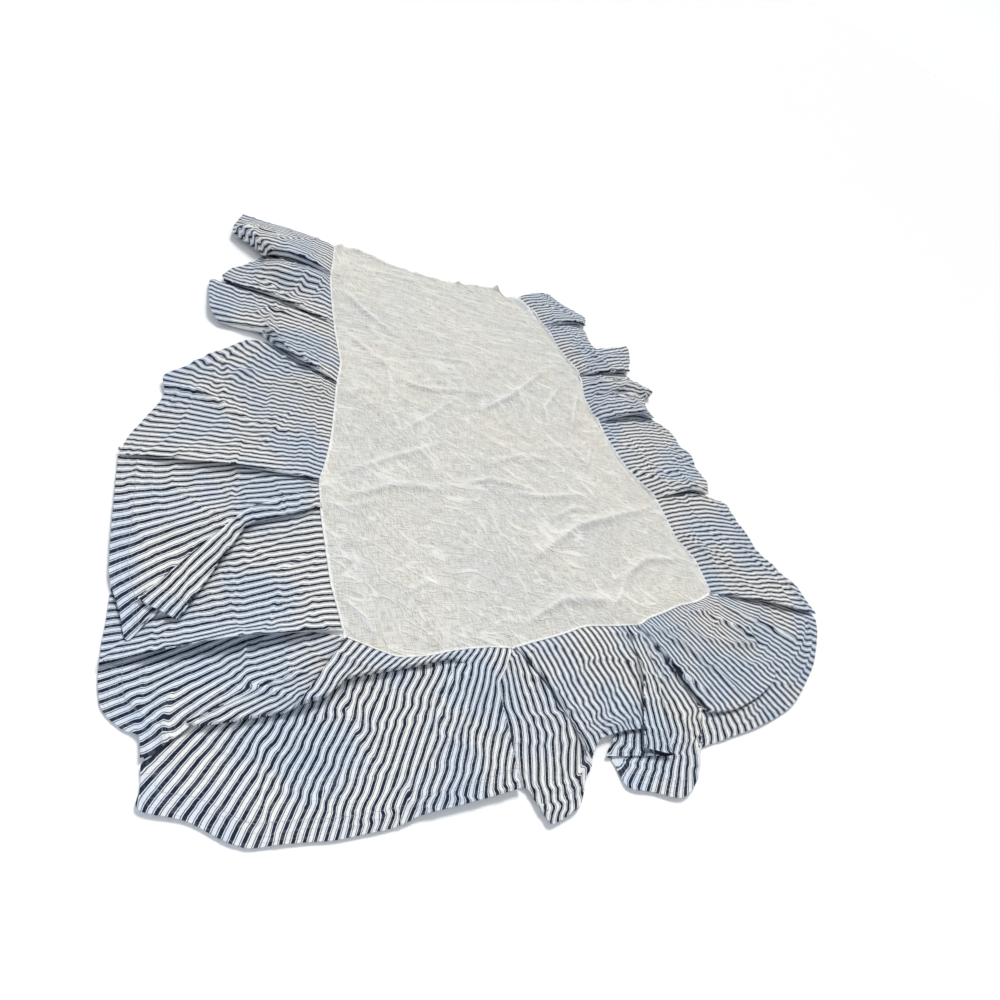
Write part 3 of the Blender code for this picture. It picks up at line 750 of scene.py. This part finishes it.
def open_towards(points, tree, direction):
    """1 where a ray in this direction meets no cloth, 0 where it does."""
    clear = np.ones(points.shape[:2])
    for (column, row), _ in np.ndenumerate(clear):
        start = Vector(points[column, row]) + direction * OFF_CLOTH
        if tree.ray_cast(start, direction, RAY)[0] is not None:
            clear[column, row] = 0
    return clear


def in_sight(points, tree, clear):
    """1 where the cloth can be seen from above or from a slant, 0 where it can't."""
    flat, rise = math.cos(math.radians(SLANT)), math.sin(math.radians(SLANT))
    for turn in range(0, 360, 45):
        x, y = flat * math.cos(math.radians(turn)), flat * math.sin(math.radians(turn))
        slanting = Vector((x, y, rise))
        clear = np.maximum(clear, open_towards(points, tree, slanting))
    return clear


def soften(clear):
    """Let the clear area fade to nothing at its borders."""
    for _ in range(4):
        padded = np.pad(clear, 1, mode="edge")
        around = padded[:-2, 1:-1] + padded[2:, 1:-1] + padded[1:-1, :-2] + padded[1:-1, 2:]
        clear = np.minimum(clear, around / 4)
    return clear


# %% [markdown]
# ## Where the stripes run
# Woven stripes stay parallel and evenly spaced, whatever the cloth does. Where a strip fans out,
# the surplus hides inside its folds. So the first number of the map is found by least squares: on
# every visible face it should grow by one metre per metre, at right angles to the way that the
# face lies, and the hidden faces take up what is left. There are two exceptions. On the billows at
# the left of the head it grows a fifth more slowly, so that the stripes stand further apart. Round
# the right foot corner small gathers take up the surplus, so it follows the ribs more closely
# there. Conjugate gradients solve this.

# %% Stripes by least squares
EVEN_OVER = 0.09
HIDDEN_WEIGHT = 0.02
BILLOW_SLACK = 0.2
BILLOWS_FROM = 0.1
BILLOWS_FADE = 0.3
CORNER_GATHERS = 15
CORNER_AT = (0.5, -0.88)
CORNER_FADE = (0.15, 0.1)
ANCHOR = 1e-6
STEPS = 2500


def ramp(value, width):
    """0 below nothing, 1 above the width, and an even slope between."""
    return np.clip(value / width, 0, 1)


def stripe_targets(points, folds, along):
    """At every point the direction across the stripes, even within each face between two turns."""
    across = np.gradient(points, axis=0)
    down = np.gradient(points, axis=1)
    normal = np.cross(across, down)
    area = lengths(normal)[..., None]
    face = np.searchsorted(folds, np.arange(len(points)), side="right")
    near = np.exp(-(((along[:, None] - along[None]) / EVEN_OVER) ** 2))
    near = near * (face[:, None] == face[None])
    even = np.einsum("ij,jrk->irk", near, down / (lengths(down)[..., None] + 1e-6) * area)
    target = np.cross(even, normal)
    return target / (lengths(target)[..., None] + 1e-12)


def edge_terms(points, target, seen, axis):
    """For the edges along one axis: their weights and how much the map should grow over them."""
    ahead, behind = (np.s_[1:], np.s_[:-1]) if axis == 0 else (np.s_[:, 1:], np.s_[:, :-1])
    step = points[ahead] - points[behind]
    growth = np.sum((target[ahead] + target[behind]) / 2 * step, axis=-1)
    side = lengths(np.gradient(points, axis=1 - axis))
    ratio = (side[ahead] + side[behind]) / 2 / (lengths(step) + 1e-5)
    weight = np.clip(ratio, 0.02, 50) * (seen[ahead] + seen[behind]) / 2
    return weight, growth


def gather(total, flow_along, flow_down, sign=-1):
    """Add what flows into each point over its edges, or with sign 1 all that its edges carry."""
    total[1:] += flow_along
    total[:-1] += sign * flow_along
    total[:, 1:] += flow_down
    total[:, :-1] += sign * flow_down
    return total


def stripe_map(points, folds, sight):
    """How far along the woven cloth every point is, as its stripes run."""
    along = cloth_map(points)[0]
    target = stripe_targets(points, folds, along)
    billow = ramp(points[..., 1:2] - BILLOWS_FROM, BILLOWS_FADE) * (points[..., :1] < 0)
    target = target * (1 - BILLOW_SLACK * billow)
    seen = HIDDEN_WEIGHT + (1 - HIDDEN_WEIGHT) * sight
    weight_along, growth_along = edge_terms(points, target, seen, 0)
    weight_down, growth_down = edge_terms(points, target, seen, 1)
    corner = ramp(points[..., 0] - CORNER_AT[0], CORNER_FADE[0])
    corner = corner * ramp(CORNER_AT[1] - points[..., 1], CORNER_FADE[1])
    follow = 1 + CORNER_GATHERS * corner
    weight_down = weight_down * (follow[:, 1:] + follow[:, :-1]) / 2
    shape = points.shape[:2]

    def spread(values):
        flow_along = weight_along * np.diff(values, axis=0)
        flow_down = weight_down * np.diff(values, axis=1)
        return gather(np.zeros(shape), flow_along, flow_down) + values * ANCHOR

    diagonal = gather(np.full(shape, ANCHOR), weight_along, weight_down, 1)
    values = np.repeat(along[:, None], shape[1], axis=1)
    wanted = gather(np.zeros(shape), weight_along * growth_along, weight_down * growth_down)
    left = wanted - spread(values)
    course, power = 0.0, 1.0
    for _ in range(STEPS):
        ready = left / diagonal
        next_power = float(np.sum(left * ready))
        course = ready + course * (next_power / power)
        power = next_power
        spread_course = spread(course)
        stride = power / float(np.sum(course * spread_course))
        values = values + course * stride
        left = left - spread_course * stride
    return values


# %% [markdown]
# ## Wrinkles
# Three kinds are added to the cloth that is seen: small gathers that run beside the seam, soft
# billows, and creases. A crease eats a little cloth, so that the stripes slip where they cross it.
# The main creases are listed one by one, each along a line that bends once. Many small ones are
# scattered between them with a fixed seed. The folds also stand up a little where the cloth turns.

# %% The main creases of the skirts
SKIRT_CREASES = metres(CREASE_UNITS, [
    # x and y of the start, the middle and the end in cm, then height, half width and slip in mm
    (-65, -43, -72, -53, -86, -66, 4, 6, 3),
    (-65, -73, -71, -76, -79, -79, 4, 7, 3),
    (-88, -44, -83, -47, -79, -48, 4, 6, -3),
    (-108, -40, -102, -40, -94, -38, 4, 7, 2),
    (-72, -15, -72, -19, -78, -18, 4, 6, 3),
    (-92, -18, -83, -23, -74, -26, 4, 8, -3),
    (-100, -64, -100, -69, -101, -75, 4, 7, 3),
    (-27, -106, -41, -117, -54, -125, 6, 9, 4),
    (-49, -108, -58, -114, -69, -114, 4, 7, 3),
    (-64, -120, -73, -124, -62, -128, 4, 7, -3),
    (-93, -97, -84, -100, -77, -103, 4, 7, 3),
    (-107, -100, -105, -95, -96, -89, 4, 8, -3),
    (-37, -115, -41, -124, -44, -132, 5, 8, 3),
    (75, -100, 74, -107, 60, -105, 9, 9, 4),
    (44, -96, 53, -103, 62, -104, 6, 8, 4),
    (57, -110, 69, -114, 85, -114, 6, 9, 3),
    (33, -95, 46, -107, 57, -123, 13, 11, 8),
    (30, -98, 35, -112, 44, -120, 10, 10, -8),
    (60, -106, 67, -106, 74, -107, 9, 8, 7),
    (66, -90, 84, -101, 97, -108, 8, 10, -6),
    (57, -93, 70, -100, 80, -110, 7, 10, -7),
    (19, -96, 19, -107, 19, -115, 4, 8, -3),
    (-14, -106, -9, -113, -4, -118, 5, 9, 3),
    (4, -117, 4, -123, 12, -127, 7, 9, 3),
    (88, -112, 71, -121, 58, -126, 6, 10, 3),
    (-16, -128, -13, -134, -9, -138, 5, 9, 3),
    (56, -11, 65, -20, 73, -30, 5, 8, 3),
    (65, -28, 79, -31, 97, -24, 5, 8, -3),
    (72, -35, 86, -36, 94, -42, 7, 9, 4),
    (65, -65, 79, -69, 88, -80, 5, 8, 3),
    (76, -56, 85, -63, 83, -77, 5, 8, -3),
    (53, 7, 73, 17, 94, 25, 8, 9, 4),
    (60, 6, 78, 10, 85, 2, 7, 9, 3),
    (88, -80, 100, -85, 110, -84, 5, 8, 3),
    (-84, 90, -72, 92, -64, 90, 6, 8, 5),
    (-76, 64, -71, 57, -67, 53, 10, 10, 8),
    (-58, 67, -62, 59, -67, 53, 9, 10, -8),
    (-51, 64, -54, 58, -57, 53, 7, 9, 7),
    (-80, 38, -74, 45, -66, 43, 10, 10, 4),
    (-73, 44, -74, 37, -76, 31, 9, 9, -5),
    (-90, 16, -89, 10, -88, 5, 8, 8, 7),
    (-88, 6, -85, 10, -79, 10, 8, 8, -7),
    (-69, 16, -63, 15, -60, 8, 8, 9, -7),
    (-107, 0, -96, -2, -84, -12, 13, 16, 3),
    (-79, -19, -76, -16, -71, -17, 5, 8, 5),
    (-69, -14, -68, -21, -71, -30, 4, 7, 4),
    (71, 46, 70, 41, 58, 33, 8, 9, -7),
    (58, 29, 77, 40, 90, 46, 9, 10, 7),
    (57, 19, 70, 22, 86, 28, 7, 9, -6),
    (55, 3, 63, 9, 70, 18, 9, 9, 7),
    (67, 11, 78, 15, 89, 16, 9, 9, -7),
    (58, -26, 64, -30, 74, -35, 6, 8, 5),
    (70, -39, 83, -36, 89, -42, 6, 8, 5),
])

print("skirts:", len(SKIRT_CREASES), "creases")

# %% Folds and creases
FOLD_HEIGHT = 0.009
FOLD_HALF = 0.026
DROP = 0.53
SMALL_CREASES = 190
SLIP_FADE = 0.04


def waves(x, y, z):
    """Soft noise between about -1 and 1 for whole arrays of places."""
    flat = zip(np.ravel(x), np.ravel(y))
    values = [noise.noise(Vector((a, b, z))) for a, b in flat]
    return np.reshape(values, np.shape(x))


def scatter_creases(seed, first, last):
    """Creases as (along, down, angle, length, height, half width, slip)."""
    dice = random.Random(seed)
    creases = []
    for _ in range(SMALL_CREASES):
        lie = dice.gauss(0, 0.5)
        height = dice.uniform(0.0018, 0.0052)
        slip = dice.uniform(0.001, 0.004) * dice.choice((-1, 1))
        place = (dice.uniform(first, last), dice.uniform(0.02, DROP))
        creases.append((*place, lie, dice.uniform(0.04, 0.17), height, dice.uniform(0.004, 0.008), slip))
    return creases


def beside(x, y, start, end):
    """How far along a line each place is, from 0 to 1, and how far from it, positive on its left."""
    run_x, run_y = end[0] - start[0], end[1] - start[1]
    share = ((x - start[0]) * run_x + (y - start[1]) * run_y) / (run_x**2 + run_y**2)
    share = np.clip(share, 0, 1)
    off_x, off_y = x - start[0] - share * run_x, y - start[1] - share * run_y
    return share, np.hypot(off_x, off_y) * np.where(run_x * off_y - run_y * off_x > 0, 1, -1)


def fold_lift(points, raised):
    """How far the folds stand up at every point: most along the lines where the cloth turns."""
    lift = np.zeros(points.shape[:2])
    for seam, bend, hem in raised:
        for start, end, low, high in ((seam, bend, 0.0, 1.0), (bend, hem, 1.0, 0.45)):
            share, away = beside(points[..., 0], points[..., 1], start, end)
            lift = np.maximum(lift, (low + (high - low) * share) * np.exp(-((away / FOLD_HALF) ** 2)))
    return FOLD_HEIGHT * lift * ramp(points[..., 2] - GROUND - 0.001, 0.004)


def turn_lines(rows, seam_line, across):
    """The seam, the bend and the hem of every rib where an upper layer turns back."""
    found = []
    for row in rows:
        level, turn, at, bend_x, bend_y, _, hem_x, hem_y = row[:8]
        if turn and max(level, level - turn) >= 1:
            seam = between(seam_line, across, at)
            found.append((seam, np.array((bend_x, bend_y)), np.array((hem_x, hem_y))))
    return found


def crease(off, half, fade, height, slip):
    """A crease's own height at a distance off its line, and how far the stripes slip there."""
    raised = height * fade * np.exp(-((off / half) ** 2))
    slipped = slip * fade * np.tanh(off / half) * np.exp(-np.abs(off) / SLIP_FADE)
    return np.array((raised, slipped))


def bent_creases(x, y, creases):
    """The heights and the slips of all creases along lines that bend once."""
    total = np.zeros((2, *x.shape))
    for *bends, height, half, slip in creases:
        start, middle, end = bends[:2], bends[2:4], bends[4:]
        first, best = beside(x, y, start, middle)
        second, away = beside(x, y, middle, end)
        closer = np.abs(away) < np.abs(best)
        best = np.where(closer, away, best)
        along = np.where(closer, 0.5 + second / 2, first / 2)
        bow = np.sin(math.pi * (0.06 + along * 0.88)) ** 0.7
        total += crease(best, half, bow, height, slip)
    return total


raised = [line for skirt in SKIRTS.values() for line in turn_lines(*skirt)]
for points, _ in strips.values():
    points[..., 2] += fold_lift(points, raised)
print(len(raised), "folds raised")

# %% Wrinkle the strips
TALL = 0.062
HEADROOM = 0.012
GATHER_SPACING = 0.024
GATHER_HEIGHT = 0.0040
GATHER_FADE = 0.08
BILLOW_HEIGHT = 0.0064
RIPPLE_HEIGHT = 0.0016
EDGE_FADE = 0.03


def wrinkle(points, stripes, clear, seed):
    """The wrinkled points and the shifted stripes."""
    free = soften(clear)
    from_hem = cloth_map(points)[1]
    down = from_hem[:, :1] - from_hem
    settled = ramp(down, EDGE_FADE) * free
    x, y = points[..., 0], points[..., 1]
    gathers = down / GATHER_SPACING + waves(stripes * 9, down * 6, seed) * 0.8
    gathered = np.clip(0.5 + waves(stripes * 2.2, down * 2, seed + 3) * 2.2, 0, 1)
    fade = np.exp(-down / GATHER_FADE) * gathered
    lift = np.abs(np.sin(math.pi * gathers)) * GATHER_HEIGHT * fade
    lift = lift + (waves(x * 5, y * 5, seed + 1) + 0.7) * BILLOW_HEIGHT
    lift = lift + (waves(x * 13, y * 13, seed + 2) + 0.5) * RIPPLE_HEIGHT
    total = np.array((lift, np.zeros(lift.shape)))
    small = scatter_creases(seed, float(stripes.min()), float(stripes.max()))
    for start, depth, lie, length, height, half, slip in small:
        run = (stripes - start) * math.cos(lie) + (down - depth) * math.sin(lie)
        off = (down - depth) * math.cos(lie) - (stripes - start) * math.sin(lie)
        total += crease(off, half, np.exp(-((run / length) ** 4)), height, slip)
    lift, slips = total + bent_creases(x, y, SKIRT_CREASES)
    wrinkled = points.copy()
    wrinkled[..., 2] += lift * settled
    over = np.maximum(0, wrinkled[..., 2] - TALL)
    wrinkled[..., 2] += HEADROOM * np.tanh(over / HEADROOM) - over
    return wrinkled, stripes + slips * free


bare = as_tree(points for points, _ in strips.values())
wrinkled = {}
for seed, (name, (points, folds)) in enumerate(strips.items()):
    clear = open_towards(points, bare, Vector((0, 0, 1)))
    stripes = stripe_map(points, folds, in_sight(points, bare, clear))
    wrinkled[name] = wrinkle(points, stripes, clear, 10 + seed)
    print(f"{name} {clear.mean():.2f} on top, stripes over {np.ptp(stripes):.2f} m")

# %% [markdown]
# ## The skirts
# Each grid becomes a piece with the ticking on it, and Solidify gives it the thickness of cotton.
# The piece stands for the solid of the same name and rides on the one body there is.

# %% Make the skirts
COTTON = 0.0009
FLOOR_HALF = 90


def thicken(piece, thickness):
    solid = piece.modifiers.new("cotton", "SOLIDIFY")
    solid.thickness = thickness
    solid.offset = 0


# A wide pale floor, which isn't part of the bed skirt.
ground = bmesh.new()
bmesh.ops.create_grid(ground, x_segments=1, y_segments=1, size=FLOOR_HALF)
finish = Finish("floor")
finish.shade({"Base Color": (0.98, 0.98, 0.98, 1), "Roughness": 0.9, "Specular IOR Level": 0.1})
floor = add_mesh("floor", ground, finish.material)
for name, (points, stripes) in wrinkled.items():
    from_hem = cloth_map(strips[name][0])[1]
    piece = grid_piece("cloth_" + name, points, stripes, from_hem, ticking)
    thicken(piece, COTTON)
    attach(piece, "root")
    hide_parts(name)
    print(piece.name, len(piece.data.polygons), "faces")

# %% [markdown]
# ## The deck
# The deck fills the space between four lines: two side seams, the foot seam and the raw head edge.
# A Coons patch blends a grid from all four. It lies nearly flat, with long soft creases from the
# way that it was thrown down, each with a thin painted highlight along its crest. Its turned edge
# lies on top of the skirts' gathered edges, so the ends of the grid are lifted onto them. The head
# edge curls up here and there, near the right of it the turned edge is rolled, and three bits stand
# up.

# %% Lay the deck
DECK_SIZE = (1.37, 1.91)
DECK_SPACING = 0.0083
EDGE_LINES = (0, 0.0015, 0.003, 0.0045, 0.006, 0.012)
OVERLAP = 0.004
MUSLIN = 0.0007


def shares_with_edges(length, both):
    """Grid lines from 0 to 1, close together at the start and, if both, at the end."""
    edge = np.array(EDGE_LINES) / length
    last = 1 - edge[-1] if both else 1.0
    middle = np.linspace(edge[-1], last, round(length / DECK_SPACING))[1:-1]
    end = 1 - edge[::-1] if both else np.array([1.0])
    return np.concatenate([edge, middle, end])


def along_line(points, shares):
    line = np.array(points)
    stops = cumulative(np.hypot(*np.diff(line, axis=0).T))
    return through(stops, line, np.array(shares) * stops[-1])


def lay_deck(across, up):
    foot = along_line(FOOT_SEAM, across)[:, None]
    head = along_line(HEAD_EDGE, across)[:, None]
    left = along_line(LEFT_SEAM[::-1], up)[None]
    right = along_line(RIGHT_SEAM, up)[None]
    u = across[:, None, None]
    v = up[None, :, None]
    corners = (foot[0, 0] * (1 - u) + foot[-1, 0] * u) * (1 - v)
    corners = corners + (head[0, 0] * (1 - u) + head[-1, 0] * u) * v
    plan = left * (1 - u) + right * u + foot * (1 - v) + head * v - corners
    outward = np.concatenate([2 * u + 0 * v - 1, np.minimum(0, 0 * u + 2 * v - 1)], axis=2)
    plan = plan + OVERLAP * outward
    return np.concatenate([plan, np.full(plan.shape[:2] + (1,), GROUND)], axis=2)


# %% The main creases of the deck
DECK_CREASES = metres(CREASE_UNITS, [
    # x and y of the start, the middle and the end in cm, then height, half width and slip in mm
    (-55, -41, -40, -37, -24, -39, 9, 16, 0),
    (-20, -37, -6, -34, 9, -38, 7, 13, 0),
    (1, -40, 13, -42, 30, -41, 6, 12, 0),
    (0, -67, 22, -55, 60, -47, 11, 18, 0),
    (31, -77, 45, -70, 60, -71, 9, 16, 0),
    (-10, -89, 5, -83, 26, -85, 10, 18, 0),
    (20, -89, 27, -84, 33, -77, 6, 12, 0),
    (0, 0, 15, 9, 38, 27, 10, 14, 0),
    (-30, 15, -21, 10, 2, 10, 9, 14, 0),
    (-43, 64, -35, 51, -26, 40, 8, 12, 0),
    (-48, 41, -41, 31, -30, 18, 7, 12, 0),
    (-33, 20, -33, 9, -36, 1, 5, 10, 0),
    (-15, 30, -6, 29, 4, 29, 5, 8, 0),
    (-59, -33, -42, -26, -20, -18, 6, 12, 0),
    (-34, -13, -21, -4, -8, 6, 6, 12, 0),
    (29, -7, 31, 5, 44, 19, 7, 12, 0),
    (39, -8, 44, 3, 51, 14, 10, 12, 0),
    (-5, -27, 12, -22, 21, -24, 5, 12, 0),
    (34, -15, 39, -26, 46, -14, 6, 10, 0),
    (-46, -77, -38, -73, -31, -77, 5, 12, 0),
    (-62, -77, -58, -83, -55, -89, 5, 8, 0),
    (-63, -45, -55, -45, -47, -43, 4, 8, 0),
    (-64, -58, -60, -64, -54, -66, 4, 8, 0),
    (13, -51, 24, -47, 31, -48, 5, 10, 0),
])
ROLLED_EDGE = metres(MM, [(406, 812, 446, 760, 482, 680, 24, 13, 0)])
STANDING_BITS = metres(MM, [(-400, 12), (130, 16), (335, 22)])
print("deck:", len(DECK_CREASES), "creases,", len(STANDING_BITS), "standing bits")

# %% Shape the deck
CREASE_GAIN = 1.6
CREST_HIGHLIGHT = 0.6
CREST_HALF = 0.006
TURNED = 0.0062
BEAD = 0.0018
ON_SKIRT = 0.0014


def ridges(x, y, z):
    """1 on thin lines and 0 elsewhere."""
    return np.clip(1 - np.abs(waves(x, y, z)) * 3, 0, 1) ** 3


def rest_on(points, near, tree):
    """Lift the points near the edge onto the cloth that lies below them."""
    for column, row in np.argwhere(near):
        x, y, z = points[column, row]
        hit = tree.ray_cast(Vector((x, y, 0.2)), Vector((0, 0, -1)))[0]
        if hit is not None:
            points[column, row, 2] = max(z, hit.z + ON_SKIRT)


def shape_deck(points, across, up, tree):
    """Raise the deck, and mark its turned edge and, for a painted highlight, its crests."""
    x, y = points[..., 0], points[..., 1]
    side = np.minimum(across, 1 - across)[:, None] * DECK_SIZE[0]
    edge = np.minimum(side, up[None] * DECK_SIZE[1])
    settled = ramp(edge, EDGE_FADE)
    height = np.maximum(0, waves(x * 4, y * 4, 1.0) + 0.6) * 0.004
    calm = np.clip((y + 0.55) / 0.5, 0.25, 1)
    height = height + ridges((x + y) * 6, (y - x) * 1.6, 2.0) * 0.0040 * calm
    height = height + ridges(x * 2.5 + y * 0.7, y * 12, 3.0) * 0.0035 * calm
    height = height + ridges(x * 14, y * 17, 4.0) * 0.0018
    height = (height + bent_creases(x, y, DECK_CREASES)[0] * CREASE_GAIN) * settled
    rolled = bent_creases(x, y, ROLLED_EDGE)[0]
    height = height + rolled
    head = (1 - up)[None] * DECK_SIZE[1]
    curl = np.exp(-((head / 0.022) ** 2)) * np.maximum(0, waves(x * 17, y * 3, 6.0) + 0.25)
    height = height + curl * 0.011 * ramp(side, EDGE_FADE)
    for middle, stands in STANDING_BITS:
        height = height + stands * np.exp(-(((x - middle) / 0.013) ** 2) - (head / 0.018) ** 2)
    points[..., 2] += height
    points[..., 1] += waves(x * 60, y * 60, 7.0) * 0.006 * np.exp(-head / 0.012)
    rest_on(points, edge < EDGE_FADE, tree)
    points[..., 2] += np.exp(-(((edge - 0.003) / 0.0026) ** 2)) * BEAD
    # Thin lines along the crests of the main creases, for their painted highlight.
    crest_lines = [(*row[:6], CREST_HIGHLIGHT, CREST_HALF, 0) for row in DECK_CREASES]
    crest_highlights = bent_creases(x, y, crest_lines)[0] * settled
    return np.maximum(np.maximum(edge < TURNED, crest_highlights), ramp(rolled, 0.006))


across = shares_with_edges(DECK_SIZE[0], True)
up = shares_with_edges(DECK_SIZE[1], False)
deck_points = lay_deck(across, up)
edge_and_highlight_marks = shape_deck(deck_points, across, up, as_tree(points for points, _ in wrinkled.values()))
u_map = np.repeat(across[:, None] * DECK_SIZE[0], len(up), axis=1)
v_map = np.repeat(up[None] * DECK_SIZE[1], len(across), axis=0)
deck = grid_piece("cloth_deck", deck_points, u_map, v_map, muslin, edge_and_highlight_marks)
thicken(deck, MUSLIN)
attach(deck, "root")
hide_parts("deck")
print(deck.name, len(deck.data.polygons), "faces")

# %% [markdown]
# ## Loose threads
# The deck's head edge was never hemmed, and it has frayed: ends of thread come out of it and lie
# on the floor. Each one is a thin three-sided tube along a wandering line.

# %% Fray the head edge
THREADS = 46
THREAD = 0.0005
STEP = 0.004


def thread_line(dice, start):
    """A wandering line from a point of the edge outward and down to the floor."""
    line = [Vector(start)]
    heading = dice.uniform(0.2, math.pi - 0.2)
    for _ in range(dice.randint(3, 9)):
        heading += dice.gauss(0, 0.4)
        step = Vector((math.cos(heading), math.sin(heading), 0)) * STEP
        line.append(line[-1] + step)
        line[-1].z = max(GROUND, line[-1].z - dice.uniform(0, 0.003))
    return line


def add_tube(threads, line):
    rings = []
    for before, after in zip(line, line[1:]):
        along = (after - before).normalized()
        side = along.cross(Vector((0, 0, 1))).normalized()
        top = side.cross(along)
        turns = (0, math.tau / 3, math.tau * 2 / 3)
        around = [side * math.cos(turn) + top * math.sin(turn) for turn in turns]
        rings.append([threads.verts.new(before + way * THREAD) for way in around])
    tip = threads.verts.new(line[-1])
    for near, far in zip(rings, rings[1:]):
        for k in range(3):
            threads.faces.new((near[k - 1], near[k], far[k], far[k - 1]))
    for k in range(3):
        threads.faces.new((rings[-1][k - 1], rings[-1][k], tip))
    threads.faces.new(rings[0])


threads = bmesh.new()
dice = random.Random(5)
for _ in range(THREADS):
    column = dice.randrange(2, len(deck_points) - 2)
    add_tube(threads, thread_line(dice, deck_points[column, -1]))
bmesh.ops.recalc_face_normals(threads, faces=threads.faces)
frayed = add_mesh("frayed_threads", threads, muslin)
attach(frayed, "root")
print(frayed.name, len(frayed.data.polygons), "faces")

# %% [markdown]
# ## Light
# The room is bright, with pale walls, so its light is strongest near the horizon. Soft sunlight
# falls in from beyond the head end, so that the folds shade the side nearest to the viewer, and a
# cool light fills these shades from the front.

# %% Lights
def add_light(name, kind, place, towards, settings):
    """A light that shines towards a direction."""
    lamp = bpy.data.lights.new(name, kind)
    for setting, value in settings.items():
        setattr(lamp, setting, value)
    light = add_object(name, lamp)
    light.location = place
    light.rotation_euler = Vector(towards).to_track_quat("-Z", "Y").to_euler()


def light_room():
    world = bpy.data.worlds.new("room")
    world.use_nodes = True
    tree = world.node_tree
    room = tree.nodes["Background"]
    room.inputs["Color"].default_value = (0.95, 0.975, 1.0, 1)
    direction = tree.nodes.new("ShaderNodeTexCoord").outputs["Generated"]
    height = tree.nodes.new("ShaderNodeSeparateXYZ")
    tree.links.new(direction, height.inputs[0])
    walls = tree.nodes.new("ShaderNodeMapRange")
    for socket, value in (("From Min", 0.04), ("From Max", 0.45), ("To Min", 1.05), ("To Max", 0.42)):
        walls.inputs[socket].default_value = value
    tree.links.new(height.outputs["Z"], walls.inputs["Value"])
    tree.links.new(walls.outputs[0], room.inputs["Strength"])
    bpy.context.scene.world = world


sky = {"shape": "SQUARE", "size": 3.0, "energy": 55, "color": (0.72, 0.84, 1.0)}
add_light("sky", "AREA", (-3.4, -3.4, 3.4), (3.4, 3.4, -3.4), sky)
sun = {"energy": 2.3, "angle": math.radians(18), "color": (1.0, 0.985, 0.955)}
add_light("window", "SUN", (0, 0, 0), (-0.35, -0.75, -1.0), sun)
light_room()
bpy.context.scene.view_settings.view_transform = "Standard"
print("lights:", ", ".join(light.name for light in bpy.data.lights))
